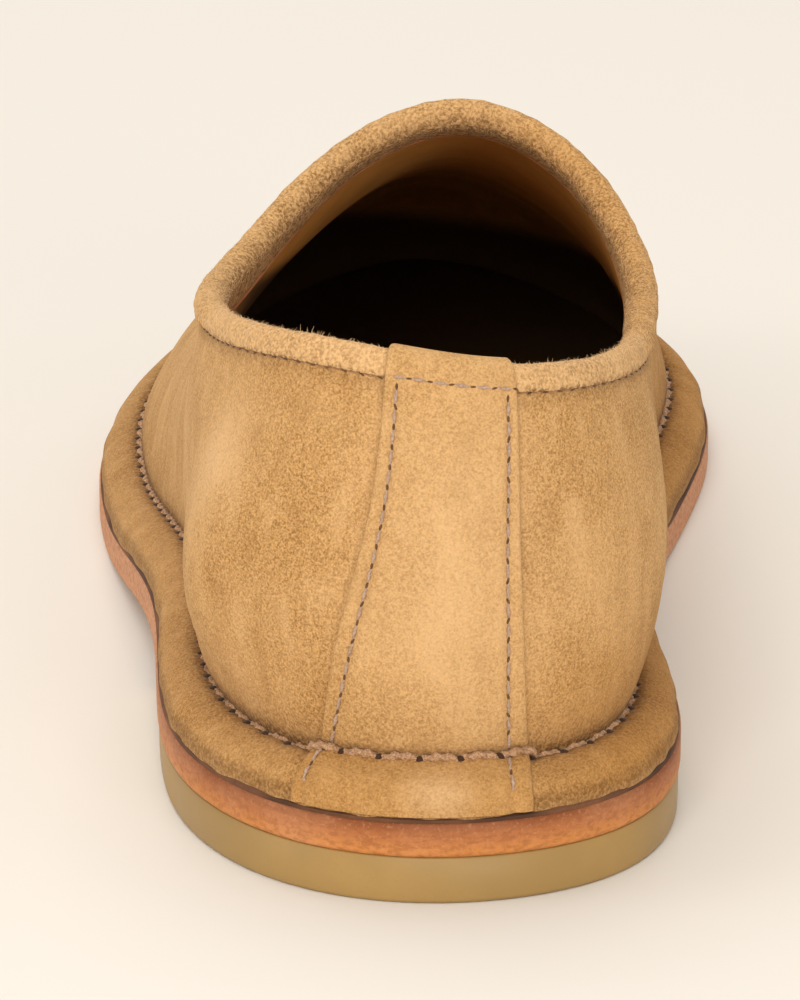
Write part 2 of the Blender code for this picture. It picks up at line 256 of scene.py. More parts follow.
@dataclass
class ShoeForm:
    """The last and the sole's edge as functions of place and climb."""

    length: float = 297.0
    ball_width: float = 106.0
    instep_height: float = 87.0
    heel_lift: float = 7.2
    toe_spring: float = 8.0
    outsole_thick: float = 5.0
    midsole_thick: float = 0.5
    wall_thick: float = 2.2
    flange_width: float = 7.0
    flange_thick: float = 2.7
    flange_rise: float = 3.8
    flange_crown: float = 1.6
    flange_margin: float = 0.5
    flange_lip: float = 0.45
    flange_round: float = 0.3
    gap: float = 0.3
    seat_end: float = 0.34
    ball_start: float = 0.60
    ball_end: float = 0.72
    groove_depth: float = 0.9
    groove_width: float = 1.3
    stitch_pitch: float = FLANGE_PITCH
    stitch_start: float = FLANGE_START
    hole_sharp: int = 5  # power that narrows the seam's pull to its holes
    pucker_depth: float = 0.45
    pucker_width: float = 2.4
    seam_pull: tuple[float, float] = (0.45, 0.9)  # inward and downward shares of the seam's pull
    wall_slope: float = 61.0  # millimetres of wall for each share of climb, just above the crease
    corner_flange: float = 0.35  # climbs over which a direction turns from flange to wall at the crease
    corner_wall: float = 0.06
    # Painted shade that darkens and warms the suede on the flange, low on the wall and on the inner side.
    tan_flange: float = 0.32  # how far painted shade darkens the flange
    tan_wall: float = 0.15
    tan_inner: float = 0.54  # added towards the inner side
    tan_start: float = 0.4  # sections from the heel seam where that begins
    tan_climb: float = 0.40  # where that painted shade ends on the wall
    dark_height: float = 54.8  # where the painted shadow inside begins, at the shoe's middle
    dark_tilt: float = 0.12  # how much lower that is for each millimetre to the inner side
    dark_fall: float = 0.183  # and towards the toe
    dark_soft: float = 4.5
    dark_start: float = -75.0
    dark_fade: float = 45.0
    creases: tuple[Crease, ...] = CREASES
    rubs: tuple[Rub, ...] = RUBS
    crease_steps: int = 24
    crease_taper: float = 0.7  # power of a crease's rise from its ends
    crease_low: float = 0.1  # climbs over which creases set in above the flange
    crease_high: float = 0.15  # and end below the topline
    fine_steps: int = 2400
    spline: ClosedSpline = field(init=False)
    columns: dict[str, int] = field(init=False)
    centre: Array = field(init=False)
    fine: Array = field(init=False)  # close places round the shoe
    run: Array = field(init=False)  # lengths along the crease there
    stitch_count: int = field(init=False)

    def __post_init__(self) -> None:
        """Sets up the spline, the shoe's centre and the lengths along the crease."""
        sizes = (self.length, self.ball_width, self.length, self.ball_width, self.instep_height)
        rows = np.array([astuple(section) for section in SECTIONS.values()])
        rows[:, : len(sizes)] *= sizes
        chords = np.roll(rows[:, :2], -1, axis=0) - rows[:, :2]
        self.spline = ClosedSpline(rows, np.sqrt(np.linalg.norm(chords, axis=1)))
        self.columns = {name: index for index, name in enumerate(Section.__dataclass_fields__)}
        self.fine = np.linspace(0, len(SECTIONS), self.fine_steps + 1)
        edge = self.edge_line(self.fine)
        self.centre = np.append((edge.min(axis=0) + edge.max(axis=0)) / 2, 0.0)
        line = self.flange(self.fine, np.ones_like(self.fine))
        steps = np.linalg.norm(np.diff(line, axis=0), axis=1)
        self.run = np.append(0.0, np.cumsum(steps))
        self.stitch_count = round(self.run[-1] / self.stitch_pitch)

    def column(self, place: Array, name: str) -> Array:
        """One named column of the sections at a place."""
        return self.spline.at(place)[..., self.columns[name]]

    def beside(self, place: Array, *names: str) -> Array:
        """Named columns of the sections at a place, side by side."""
        return np.stack([self.column(place, name) for name in names], axis=-1)

    def edge_line(self, place: Array) -> Array:
        """Sole edge in plan."""
        return self.beside(place, "across", "along")

    def outward(self, place: Array) -> Array:
        """Plan direction out of the sole's edge."""
        along_edge = unit(self.edge_line(place + NUDGE) - self.edge_line(place - NUDGE))
        return np.stack([-along_edge[..., 1], along_edge[..., 0]], axis=-1)

    def outline(self, place: Array, inset: Array | float) -> Array:
        """Sole edge in plan, drawn in by an inset."""
        return self.edge_line(place) - np.asarray(inset)[..., None] * self.outward(place)

    def tread(self, along: Array) -> Array:
        """Height of the leather sole's underside: heel seat, falling waist, flat ball and toe spring."""
        share = np.asarray(along) / self.length
        fall = ease((share - self.seat_end) / (self.ball_start - self.seat_end))
        spring = np.clip((share - self.ball_end) / (1 - self.ball_end), 0, 1)
        return self.heel_lift * (1 - fall) + self.toe_spring * spring**2

    def seat(self, place: Array) -> Array:
        """Height of the flange's underside at the sole's edge."""
        layers = self.outsole_thick + self.midsole_thick + 2 * self.gap
        return self.tread(self.column(place, "along")) + layers

    def flange_lift(self, share: Array | float) -> Array:
        """Climb of the flange's underside at a share of the way from its edge to the crease."""
        return self.flange_rise * (1 - (1 - np.asarray(share)) ** self.flange_crown)

    def flange_line(self, place: Array, share: Array | float) -> Array:
        """Plan line of the flange at a share of the way from its edge to the crease."""
        return self.outline(place, self.flange_margin + share * (self.flange_width - self.flange_margin))

    def flange_depth(self, share: Array | float) -> Array:
        """Thickness of the flange, rounded down to a lip at its edge."""
        lip = self.flange_lip
        return self.flange_thick * (lip + (1 - lip) * rounded(np.asarray(share) / self.flange_round))

    def flange(self, place: Array, share: Array) -> Array:
        """Top face of the flange."""
        height = self.seat(place) + self.flange_lift(share) + self.flange_depth(share)
        return upright(self.flange_line(place, share), height)

    def topline(self, place: Array) -> Array:
        """The upper's own edge at the collar."""
        return self.beside(place, "top_across", "top_along", "top_height")

    def wall(self, place: Array, share: Array) -> Array:
        """Plain outer face of the upper.

        Args:
            place: Places round the shoe.
            share: Shares of the way from crease to topline.

        Returns:
            Points on the wall.
        """
        place, share = np.broadcast_arrays(np.asarray(place, float), np.asarray(share, float))
        crease = self.flange(place, np.ones_like(place))
        top = self.topline(place)
        out = self.outward(place) * self.column(place, "out")[..., None]
        lower = crease + upright(out, self.column(place, "up"))
        lead = self.beside(place, "lead_across", "lead_along")
        upper = top + upright(lead, -self.column(place, "lead_drop"))
        share = share[..., None]
        rest = 1 - share
        return rest**3 * crease + 3 * rest**2 * share * lower + 3 * rest * share**2 * upper + share**3 * top

    def wall_up(self, place: Array, share: Array) -> Array:
        """Direction up the wall."""
        return unit(self.wall(place, share + NUDGE) - self.wall(place, share - NUDGE))

    def wall_normal(self, place: Array, share: Array) -> Array:
        """Direction out of the wall."""
        along = self.wall(place + NUDGE, share) - self.wall(place - NUDGE, share)
        return unit(np.cross(self.wall_up(place, share), along))

    def share_at(self, place: Array, depth: Array | float) -> Array:
        """Share of the wall that lies a depth below the topline."""
        slope = np.linalg.norm(self.topline(place) - self.wall(place, 1 - NUDGE), axis=-1) / NUDGE
        return 1 - depth / slope

    def lift(self, place: Array, climb: Array) -> Array:
        """Direction off the skin: out of the lip, up from the flange, out of the wall.

        Args:
            place: Places round the shoe.
            climb: Climbs, of the same shape.

        Returns:
            A direction for each point, turning from one to the next at the crease.
        """
        out = upright(self.outward(place), 0.0)
        corner = out + (0.0, 0.0, 1.0)
        near_crease = ease(1 + climb / self.corner_flange)[..., None]
        near_lip = np.clip(1 - (1 + climb) / self.flange_round, 0, 1)[..., None]
        off_flange = (0.0, 0.0, 1.0) * np.sqrt(1 - near_lip**2) + out * (near_crease + near_lip)
        past_crease = ease(climb / self.corner_wall)[..., None]
        normal = self.wall_normal(place, np.maximum(climb, 0.0))
        off_wall = corner * (1 - past_crease) + normal * past_crease
        return np.where(climb[..., None] < 0, off_flange, off_wall)

    def from_heel(self, place: Array) -> Array:
        """Places counted either way from the heel seam, positive to the outer side."""
        half = len(SECTIONS) / 2
        return (np.asarray(place) + half) % len(SECTIONS) - half

    def run_at(self, place: Array) -> Array:
        """Length along the crease from the back of the heel."""
        return np.interp(np.asarray(place) % len(SECTIONS), self.fine, self.run)

    def place_at(self, run: Array) -> Array:
        """Place that lies a length along the crease."""
        return np.interp(np.asarray(run) % self.run[-1], self.run, self.fine)

    def around(self, count: int) -> Array:
        """Places spread evenly along the crease."""
        return self.place_at(np.arange(count) * self.run[-1] / count)

    def pairs_at(self, alongs: Array) -> Array:
        """Places at distances along the shoe, up its outer side and back down its inner side."""
        half = self.fine[self.fine <= len(SECTIONS) / 2]
        sides = []
        for side in (half, -half):
            reached = np.maximum.accumulate(self.column(side, "along"))
            sides.append(np.interp(alongs, reached, side))
        return np.concatenate([sides[0], sides[1][::-1]])

    def stations(self, count: int) -> Array:
        """Distances along the shoe, closer together at heel and toe."""
        return self.length * (1 - np.cos(np.pi * (np.arange(count) + 0.5) / count)) / 2

    def from_crease(self, climb: Array) -> Array:
        """Distance from the crease, on the flange or up the wall."""
        on_flange = -climb * (self.flange_width - self.flange_margin)
        return np.where(climb < 0, on_flange, climb * self.wall_slope)

    def deep(self, points: Array) -> Array:
        """How far painted shadow darkens the inside: tan near the collar and at the heel, dark under the
        vamp, from 0 to 1.
        """
        x, y, z = np.moveaxis(points - self.centre, -1, 0)
        line = self.dark_height - self.dark_tilt * x - self.dark_fall * y
        forward = ease((y - self.dark_start) / self.dark_fade)
        return ease((line - z) / self.dark_soft + 0.5) * forward

    def holes(self, place: Array) -> Array:
        """Sharp peaks at the holes of the flange seam, one for each stitch."""
        turns = self.run_at(place) / self.run[-1] * self.stitch_count - self.stitch_start
        return (0.5 + 0.5 * np.cos(2 * np.pi * turns)) ** self.hole_sharp

    def groove(self, place: Array, climb: Array) -> Array:
        """How far the flange seam pulls the suede down at the crease."""
        away = self.from_crease(climb)
        pucker = self.pucker_depth * bell(away, self.pucker_width) * self.holes(place)
        return self.groove_depth * bell(away, self.groove_width) + pucker

    def relief(self, base: Array, climb: Array) -> Array:
        """Height of the listed creases at points of the plain skin.

        Args:
            base: Points of the plain skin.
            climb: Their climbs.

        Returns:
            Height off the plain skin, nothing on the flange and at the topline.
        """
        height = np.zeros(base.shape[:-1])
        steps = np.linspace(0, 1, self.crease_steps)
        for crease in self.creases:
            path = np.outer(1 - steps, crease.start) + np.outer(steps, crease.end)
            line = self.wall(path[:, 0], path[:, 1])
            apart = np.linalg.norm(base[..., None, :] - line, axis=-1)
            along = np.argmin(apart, axis=-1) / (self.crease_steps - 1)
            fade = np.sin(np.pi * along) ** self.crease_taper
            height += crease.height * bell(apart.min(axis=-1), crease.width) * fade
        return height * ease(climb / self.crease_low) * ease((1 - climb) / self.crease_high)

    def inner_side(self, place: Array, start: float) -> Array:
        """1 on the inner side from a place on, fading out at the toe."""
        inward = -self.from_heel(place)
        return ease(inward - start) * ease(len(SECTIONS) / 2 - inward)

    def tanned(self, place: Array, climb: Array) -> Array:
        """How far painted shade darkens and warms the suede: on the flange, low on the wall and on the
        inner side.
        """
        inner = self.tan_inner * self.inner_side(place, self.tan_start)
        low = (self.tan_wall + inner) * ease(1 - np.maximum(climb, 0) / self.tan_climb)
        return np.where(climb < 0, self.tan_flange + inner, low)

    def rubbed(self, points: Array) -> Array:
        """How pale the nap is painted at points, for painted highlights and in part wear, from 0 to 1."""
        paler = np.zeros(points.shape[:-1])
        for rub in self.rubs:
            spot = self.skin(rub.place, rub.climb)
            paler += rub.strength * bell(np.linalg.norm(points - spot, axis=-1), rub.width)
        return np.clip(paler, 0, 1)

    def skin(self, place: Array, climb: Array, offset: Array | float = 0.0) -> Array:
        """Outer face of flange and wall with creases and seam, or points off it.

        Args:
            place: Places round the shoe.
            climb: Climbs from the flange's edge to the topline.
            offset: Distance off the face, negative behind it.

        Returns:
            Points of the common shape of the arguments.
        """
        place, climb, offset = np.broadcast_arrays(
            np.asarray(place, float), np.asarray(climb, float), np.asarray(offset, float)
        )
        low = self.flange(place, np.clip(1 + climb, 0, 1))
        high = self.wall(place, np.maximum(climb, 0.0))
        base = np.where(climb[..., None] < 0, low, high)
        lift = self.lift(place, climb)
        inward, down = self.seam_pull
        pull = upright(-inward * self.outward(place), -down) * self.groove(place, climb)[..., None]
        return base + lift * (offset + self.relief(base, climb))[..., None] + pull

    def collar_turn(self, place: Array, radius: Array, angle: Array) -> Array:
        """Points on a round turn over the upper's edge.

        Args:
            place: Places round the shoe.
            radius: Distance from the middle of the upper's edge.
            angle: 0 outside, pi inside.

        Returns:
            Points of the common shape of the arguments.
        """
        top = np.ones_like(place)
        middle = self.skin(place, top, -self.wall_thick / 2)
        side = self.wall_normal(place, top) * np.cos(angle)[..., None]
        rise = self.wall_up(place, top) * np.sin(angle)[..., None]
        return middle + np.asarray(radius)[..., None] * (side + rise)


@dataclass(frozen=True)
class Wobble:
    """Small smooth unevenness along a closed line, the same in each run."""

    seed: int
    waves: tuple[int, ...] = (7, 13, 22, 37, 61)

    def at(self, place: Array) -> Array:
        """Unevenness at places, mostly between -1 and 1."""
        phases = np.random.default_rng(self.seed).uniform(0, 2 * np.pi, len(self.waves))
        turns = 2 * np.pi * np.asarray(place) / len(SECTIONS)
        return sum(np.sin(wave * turns + phase) for wave, phase in zip(self.waves, phases)) / 2


def loft_faces(count: int, size: int, closed: bool) -> Array:
    """Faces through a run of loops.

    Args:
        count: Number of loops.
        size: Points in each loop.
        closed: Whether the run meets its own start. An open run ends in rungs across its end loops.

    Returns:
        Corner numbers, four for each face.
    """
    steps = np.arange(count if closed else count - 1)[:, None]
    points = np.arange(size)
    here = steps * size
    there = (steps + 1) % count * size
    after = (points + 1) % size
    corners = np.broadcast_arrays(here + points, here + after, there + after, there + points)
    faces = [np.stack(corners, axis=-1).reshape(-1, 4)]
    rungs = np.arange(size // 2 - 1)
    for first in () if closed else (0, (count - 1) * size):
        last = first + size - 1
        faces.append(np.stack([first + rungs, first + rungs + 1, last - rungs - 1, last - rungs], axis=-1))
    return np.concatenate(faces)


def mesh_of(
    form: ShoeForm, name: str, points: Array, edges: list | tuple = (), faces: list | tuple = ()
) -> Mesh:
    """Mesh through points, set on the shoe's centre.

    Args:
        form: The shoe's form.
        name: Name of the mesh.
        points: Points in millimetres.
        edges: Pairs of point numbers.
        faces: Corner numbers of each face.

    Returns:
        The mesh, in metres in the shoe's frame.
    """
    mesh = bpy.data.meshes.new(name)
    mesh.from_pydata(((points.reshape(-1, 3) - form.centre) * MM).tolist(), edges, faces)
    return mesh


def set_mark(mesh: Mesh, name: str, values: Array) -> None:
    """Keeps a number or a vector for each point of a mesh, for finishes and trees to read.

    Args:
        mesh: The mesh.
        name: Name that they are read by.
        values: One number or one row of three for each point.
    """
    kind, key = ("FLOAT_VECTOR", "vector") if values.ndim == 2 else ("FLOAT", "value")
    attribute = mesh.attributes.new(name, kind, "POINT")
    attribute.data.foreach_set(key, np.ascontiguousarray(values, np.float32).ravel())


def loft(form: ShoeForm, name: str, loops: Array, closed: bool, **marks: Array) -> Mesh:
    """Closed mesh through a run of loops.

    Args:
        form: The shoe's form.
        name: Name of the mesh.
        loops: Points as (loop, point, xyz) in millimetres.
        closed: Whether the run meets its own start.
        **marks: Named values for each point.

    Returns:
        The mesh, smooth up to its sharp edges.
    """
    mesh = mesh_of(form, name, loops, faces=loft_faces(*loops.shape[:2], closed).tolist())
    body = bmesh.new()
    body.from_mesh(mesh)
    bmesh.ops.recalc_face_normals(body, faces=body.faces)
    body.to_mesh(mesh)
    body.free()
    for mark, values in marks.items():
        set_mark(mesh, mark, np.broadcast_to(values, loops.shape[:2]).ravel())
    mesh.shade_smooth()
    mesh.set_sharp_from_angle(angle=SHARP_ANGLE)
    return mesh


class NodeBuilder:
    """Base of materials and Geometry Nodes trees: adds nodes with their settings and inputs."""

    tree: bpy.types.NodeTree

    def plug(self, socket: Socket, value: Value) -> None:
        """Links a value into a socket, or sets it there."""
        if isinstance(value, Socket):
            self.tree.links.new(value, socket)
        else:
            socket.default_value = (*value, 1.0) if socket.type == "RGBA" else value

    def node(self, kind: str, settings: dict[str, str] | None = None, **inputs: Value) -> bpy.types.Node:
        """Adds a node.

        Args:
            kind: Blender's name of the node.
            settings: Properties of the node.
            **inputs: Links or values for its sockets, with _ for a space.

        Returns:
            The node.
        """
        node = self.tree.nodes.new(kind)
        for name, value in (settings or {}).items():
            setattr(node, name, value)
        for name, value in inputs.items():
            label = name.replace("_", " ")
            sockets = (socket for socket in node.inputs if socket.enabled and socket.name == label)
            self.plug(next(sockets), value)
        return node

    def out(self, kind: str, settings: dict[str, str] | None = None, **inputs: Value) -> Socket:
        """First output in use of a new node."""
        outputs = self.node(kind, settings, **inputs).outputs
        return next(socket for socket in outputs if socket.enabled)

    def math(self, operation: str, first: Value, second: Value = 0.0) -> Socket:
        """Result of one sum on two values."""
        node = self.node("ShaderNodeMath", {"operation": operation})
        for socket, value in zip(node.inputs, (first, second)):
            self.plug(socket, value)
        return node.outputs[0]

    def times(self, first: Value, second: Value) -> Socket:
        """Product of two values."""
        return self.math("MULTIPLY", first, second)


@dataclass(frozen=True)
class Grain:
    """Noise of a finish: bumps for each metre, octaves, and its scale along each axis."""

    scale: float
    detail: float = 2.0
    stretch: Triple = (1.0, 1.0, 1.0)


@dataclass(frozen=True)
class Span:
    """A span of values, which may fall, and what its start and end become."""

    low: float
    high: float
    to_low: float = 0.0
    to_high: float = 1.0


class ShaderTree(NodeBuilder):
    """A material under construction, with short calls for the nodes that the finishes share."""

    noise_roughness = 0.6

    def __init__(self, name: str) -> None:
        """Starts a material with a plain Principled shader."""
        self.material = bpy.data.materials.new(name)
        self.material.use_nodes = True
        self.tree = self.material.node_tree
        self.shader = self.tree.nodes["Principled BSDF"]
        self.coords = self.node("ShaderNodeTexCoord").outputs["Object"]

    def constants(self, **values: float | Triple) -> None:
        """Sets sockets of the shader that are the same all over the surface."""
        for name, value in values.items():
            self.into(name.replace("_", " ").title().replace("Ior", "IOR"), value)

    def into(self, name: str, value: Value) -> None:
        """Feeds one socket of the shader."""
        self.plug(self.shader.inputs[name], value)

    def noise(self, grain: Grain) -> Socket:
        """Noise over the object's own coordinates, about 0.5."""
        return self.out(
            "ShaderNodeTexNoise",
            Vector=self.out("ShaderNodeMapping", Vector=self.coords, Scale=grain.stretch),
            Scale=grain.scale,
            Detail=grain.detail,
            Roughness=self.noise_roughness,
        )

    def spread(self, value: Socket, span: Span) -> Socket:
        """Maps a span of values onto another, smoothly and held at its ends."""
        return self.out(
            "ShaderNodeMapRange",
            {"interpolation_type": "SMOOTHSTEP"},
            Value=value,
            From_Min=span.low,
            From_Max=span.high,
            To_Min=span.to_low,
            To_Max=span.to_high,
        )

    def mix(self, factor: Value, first: Value, second: Value, blend: str = "MIX") -> Socket:
        """Mixes two colours, by the factor's share of the second."""
        settings = {"data_type": "RGBA", "blend_type": blend}
        return self.out("ShaderNodeMix", settings, Factor=factor, A=first, B=second)

    def over(self, colour: Value, second: Triple, value: Socket, span: Span) -> Socket:
        """Lays a second colour over a first where values reach into a span."""
        return self.mix(self.spread(value, span), colour, second)

    def mark(self, name: str) -> Socket:
        """Values that a mesh carries under a name."""
        return self.node("ShaderNodeAttribute", {"attribute_name": name}).outputs["Fac"]

    def along(self) -> Socket:
        """The object's own Y, along the shoe, in metres."""
        return self.node("ShaderNodeSeparateXYZ", Vector=self.coords).outputs["Y"]

    def bumps(self, *layers: tuple[Socket, float]) -> None:
        """Lays heights over one another on the shader's normal.

        Args:
            *layers: Height from 0 to 1 with its depth in millimetres.
        """
        below = {}
        for height, depth in layers:
            normal = self.out("ShaderNodeBump", Strength=1.0, Distance=depth * MM, Height=height, **below)
            below = {"Normal": normal}
        self.into("Normal", below["Normal"])


@dataclass(frozen=True)
class SuedeFinish:
    """Napped sand suede with brush marks, painted paler in spots for highlights and wear, with painted
    shade in its seams and on its flange, low wall and inner side.
    """

    name: str
    dark: Triple = (0.28, 0.130, 0.034)
    light: Triple = (0.66, 0.375, 0.140)
    pale: Triple = (0.76, 0.47, 0.22)
    # Colour of the painted highlights and wear.
    worn: Triple = (0.82, 0.53, 0.28)
    # Colour of the painted shade in seams.
    deep: Triple = (0.13, 0.052, 0.014)
    # Colour that the painted shade on flange, low wall and inner side multiplies in.
    tint: Triple = (0.80, 0.66, 0.40)
    grain: Grain = Grain(3000.0, 3.0)
    flecks: Grain = Grain(1700.0)
    clouds: Grain = Grain(42.0, 3.0)
    strokes: Grain = Grain(190.0, 3.0, (1.0, 1.0, 0.4))
    light_grain: Span = Span(0.30, 0.70)
    pale_flecks: Span = Span(0.40, 0.78, 0.0, 0.40)
    dark_flecks: Span = Span(0.44, 0.24, 0.0, 0.50)
    pale_clouds: Span = Span(0.35, 0.68, 0.0, 0.30)
    dark_strokes: Span = Span(0.48, 0.28, 0.0, 0.20)
    pale_strokes: Span = Span(0.48, 0.68, 0.0, 0.30)
    worn_flecks: Span = Span(0.2, 0.6, 0.6)  # how far a pale spot of painted highlight and wear pales between and on the flecks
    pits: Span = Span(0.62, 0.38, 0.55)  # how far the painted shade in a seam darkens on and between the flecks
    grain_depth: float = 0.18
    fleck_depth: float = 0.18

    def material(self) -> Material:
        """The suede as a material."""
        tree = ShaderTree(self.name)
        grain, flecks, clouds, strokes = map(
            tree.noise, (self.grain, self.flecks, self.clouds, self.strokes)
        )
        colour = tree.over(self.dark, self.light, grain, self.light_grain)
        colour = tree.over(colour, self.pale, flecks, self.pale_flecks)
        colour = tree.over(colour, self.dark, flecks, self.dark_flecks)
        colour = tree.over(colour, self.pale, clouds, self.pale_clouds)
        colour = tree.over(colour, self.dark, strokes, self.dark_strokes)
        colour = tree.over(colour, self.pale, strokes, self.pale_strokes)
        # Painted shade on the flange, low on the wall and on the inner side.
        colour = tree.mix(tree.mark("tanned"), colour, self.tint, "MULTIPLY")
        # Painted highlights and wear.
        rubbed = tree.times(tree.mark("rubbed"), tree.spread(flecks, self.worn_flecks))
        colour = tree.mix(rubbed, colour, self.worn)
        # Painted shade in the seams, broken by the flecks.
        pits = tree.times(tree.mark("crevice"), tree.spread(flecks, self.pits))
        tree.into("Base Color", tree.mix(pits, colour, self.deep))
        tree.bumps((flecks, self.fleck_depth), (grain, self.grain_depth))
        tree.constants(
            roughness=0.92,
            specular_ior_level=0.12,
            sheen_weight=0.12,
            sheen_roughness=0.45,
            sheen_tint=(1.0, 0.78, 0.50),
        )
        return tree.material


@dataclass(frozen=True)
class SoleLeatherFinish:
    """Cut edge of the leather sole: darker towards its top, paler and pinker towards the ball."""

    name: str
    top: Triple = (0.24, 0.070, 0.022)
    middle: Triple = (0.44, 0.155, 0.050)
    bottom: Triple = (0.58, 0.225, 0.058)
    pink: Triple = (0.63, 0.305, 0.155)
    under: Triple = (0.56, 0.33, 0.18)
    fibres: Grain = Grain(650.0, 4.0, (1.0, 1.0, 2.2))
    specks: Grain = Grain(1900.0)
    clouds: Grain = Grain(60.0)
    middle_levels: Span = Span(0.15, 0.62)
    top_levels: Span = Span(0.55, 1.0)
    pink_reach: Span = Span(-0.128, -0.055, 0.0, 0.85)  # metres along the shoe
    pink_clouds: Span = Span(0.40, 0.72, 0.0, 0.35)
    dark_fibres: Span = Span(0.60, 0.34, 0.0, 0.42)
    pink_specks: Span = Span(0.52, 0.74, 0.0, 0.32)
    fibre_depth: float = 0.10
    speck_depth: float = 0.06

    def material(self) -> Material:
        """The sole's leather as a material."""
        tree = ShaderTree(self.name)
        level = tree.mark("level")
        fibres, specks, clouds = map(tree.noise, (self.fibres, self.specks, self.clouds))
        colour = tree.over(self.bottom, self.middle, level, self.middle_levels)
        colour = tree.over(colour, self.top, level, self.top_levels)
        colour = tree.over(colour, self.pink, tree.along(), self.pink_reach)
        colour = tree.mix(tree.mark("underside"), colour, self.under)
        colour = tree.over(colour, self.pink, clouds, self.pink_clouds)
        colour = tree.over(colour, self.top, fibres, self.dark_fibres)
        tree.into("Base Color", tree.over(colour, self.pink, specks, self.pink_specks))
        tree.bumps((fibres, self.fibre_depth), (specks, self.speck_depth))
        tree.constants(roughness=0.6, specular_ior_level=0.22)
        return tree.material


@dataclass(frozen=True)
class SmoothLeatherFinish:
    """Smooth leather with a fine grain, for lining and sock, with painted shadow far inside the shoe, and
    for the layer under the flange, painted dark for the shade in the gap there.
    """

    name: str
    base: Triple
    shade: Triple
    roughness: float
    # Colour of the painted shadow far inside the shoe.
    deep: Triple = (0.100, 0.055, 0.022)
    grain: Grain = Grain(1500.0, 3.0)
    clouds: Grain = Grain(55.0, 3.0)
    base_clouds: Span = Span(0.30, 0.72)
    dark_grain: Span = Span(0.50, 0.25, 0.0, 0.4)
    grain_depth: float = 0.05

    def material(self) -> Material:
        """The leather as a material."""
        tree = ShaderTree(self.name)
        grain, clouds = map(tree.noise, (self.grain, self.clouds))
        colour = tree.over(self.shade, self.base, clouds, self.base_clouds)
        colour = tree.over(colour, self.shade, grain, self.dark_grain)
        # Painted shadow far inside the shoe.
        tree.into("Base Color", tree.mix(tree.mark("deep"), colour, self.deep))
        tree.bumps((grain, self.grain_depth))
        tree.constants(roughness=self.roughness, specular_ior_level=0.4)
        return tree.material


@dataclass(frozen=True)
class RubberFinish:
    """Moulded olive tan rubber with a soft gloss."""

    name: str
    base: Triple = (0.400, 0.245, 0.082)
    shade: Triple = (0.340, 0.212, 0.072)
    clouds: Grain = Grain(35.0, 3.0)
    pores: Grain = Grain(1800.0, 3.0)
    base_clouds: Span = Span(0.35, 0.68)
    dark_pores: Span = Span(0.48, 0.30, 0.0, 0.35)
    roughness: Span = Span(0.3, 0.7, 0.36, 0.50)
    cloud_depth: float = 0.35
    pore_depth: float = 0.03

    def material(self) -> Material:
        """The rubber as a material."""
        tree = ShaderTree(self.name)
        clouds, pores = map(tree.noise, (self.clouds, self.pores))
        colour = tree.over(self.shade, self.base, clouds, self.base_clouds)
        tree.into("Base Color", tree.over(colour, self.shade, pores, self.dark_pores))
        tree.into("Roughness", tree.spread(clouds, self.roughness))
        tree.bumps((clouds, self.cloud_depth), (pores, self.pore_depth))
        tree.constants(specular_ior_level=0.3)
        return tree.material


@dataclass(frozen=True)
class ThreadFinish:
    """Twisted sewing thread, also for loose fibres and the dark beads painted for the shade in needle
    holes.
    """

    name: str
    base: Triple
    shade: Triple
    roughness: float = 0.75
    fuzz: Grain = Grain(3200.0, 3.0)
    wear: Grain = Grain(240.0)
    base_fuzz: Span = Span(0.30, 0.66)
    dark_wear: Span = Span(0.50, 0.28, 0.0, 0.5)
    fuzz_depth: float = 0.12

    def material(self) -> Material:
        """The thread as a material."""
        tree = ShaderTree(self.name)
        fuzz, wear = map(tree.noise, (self.fuzz, self.wear))
        colour = tree.over(self.shade, self.base, fuzz, self.base_fuzz)
        tree.into("Base Color", tree.over(colour, self.shade, wear, self.dark_wear))
        tree.bumps((fuzz, self.fuzz_depth))
        tree.constants(roughness=self.roughness, specular_ior_level=0.25, sheen_weight=0.15)
        return tree.material


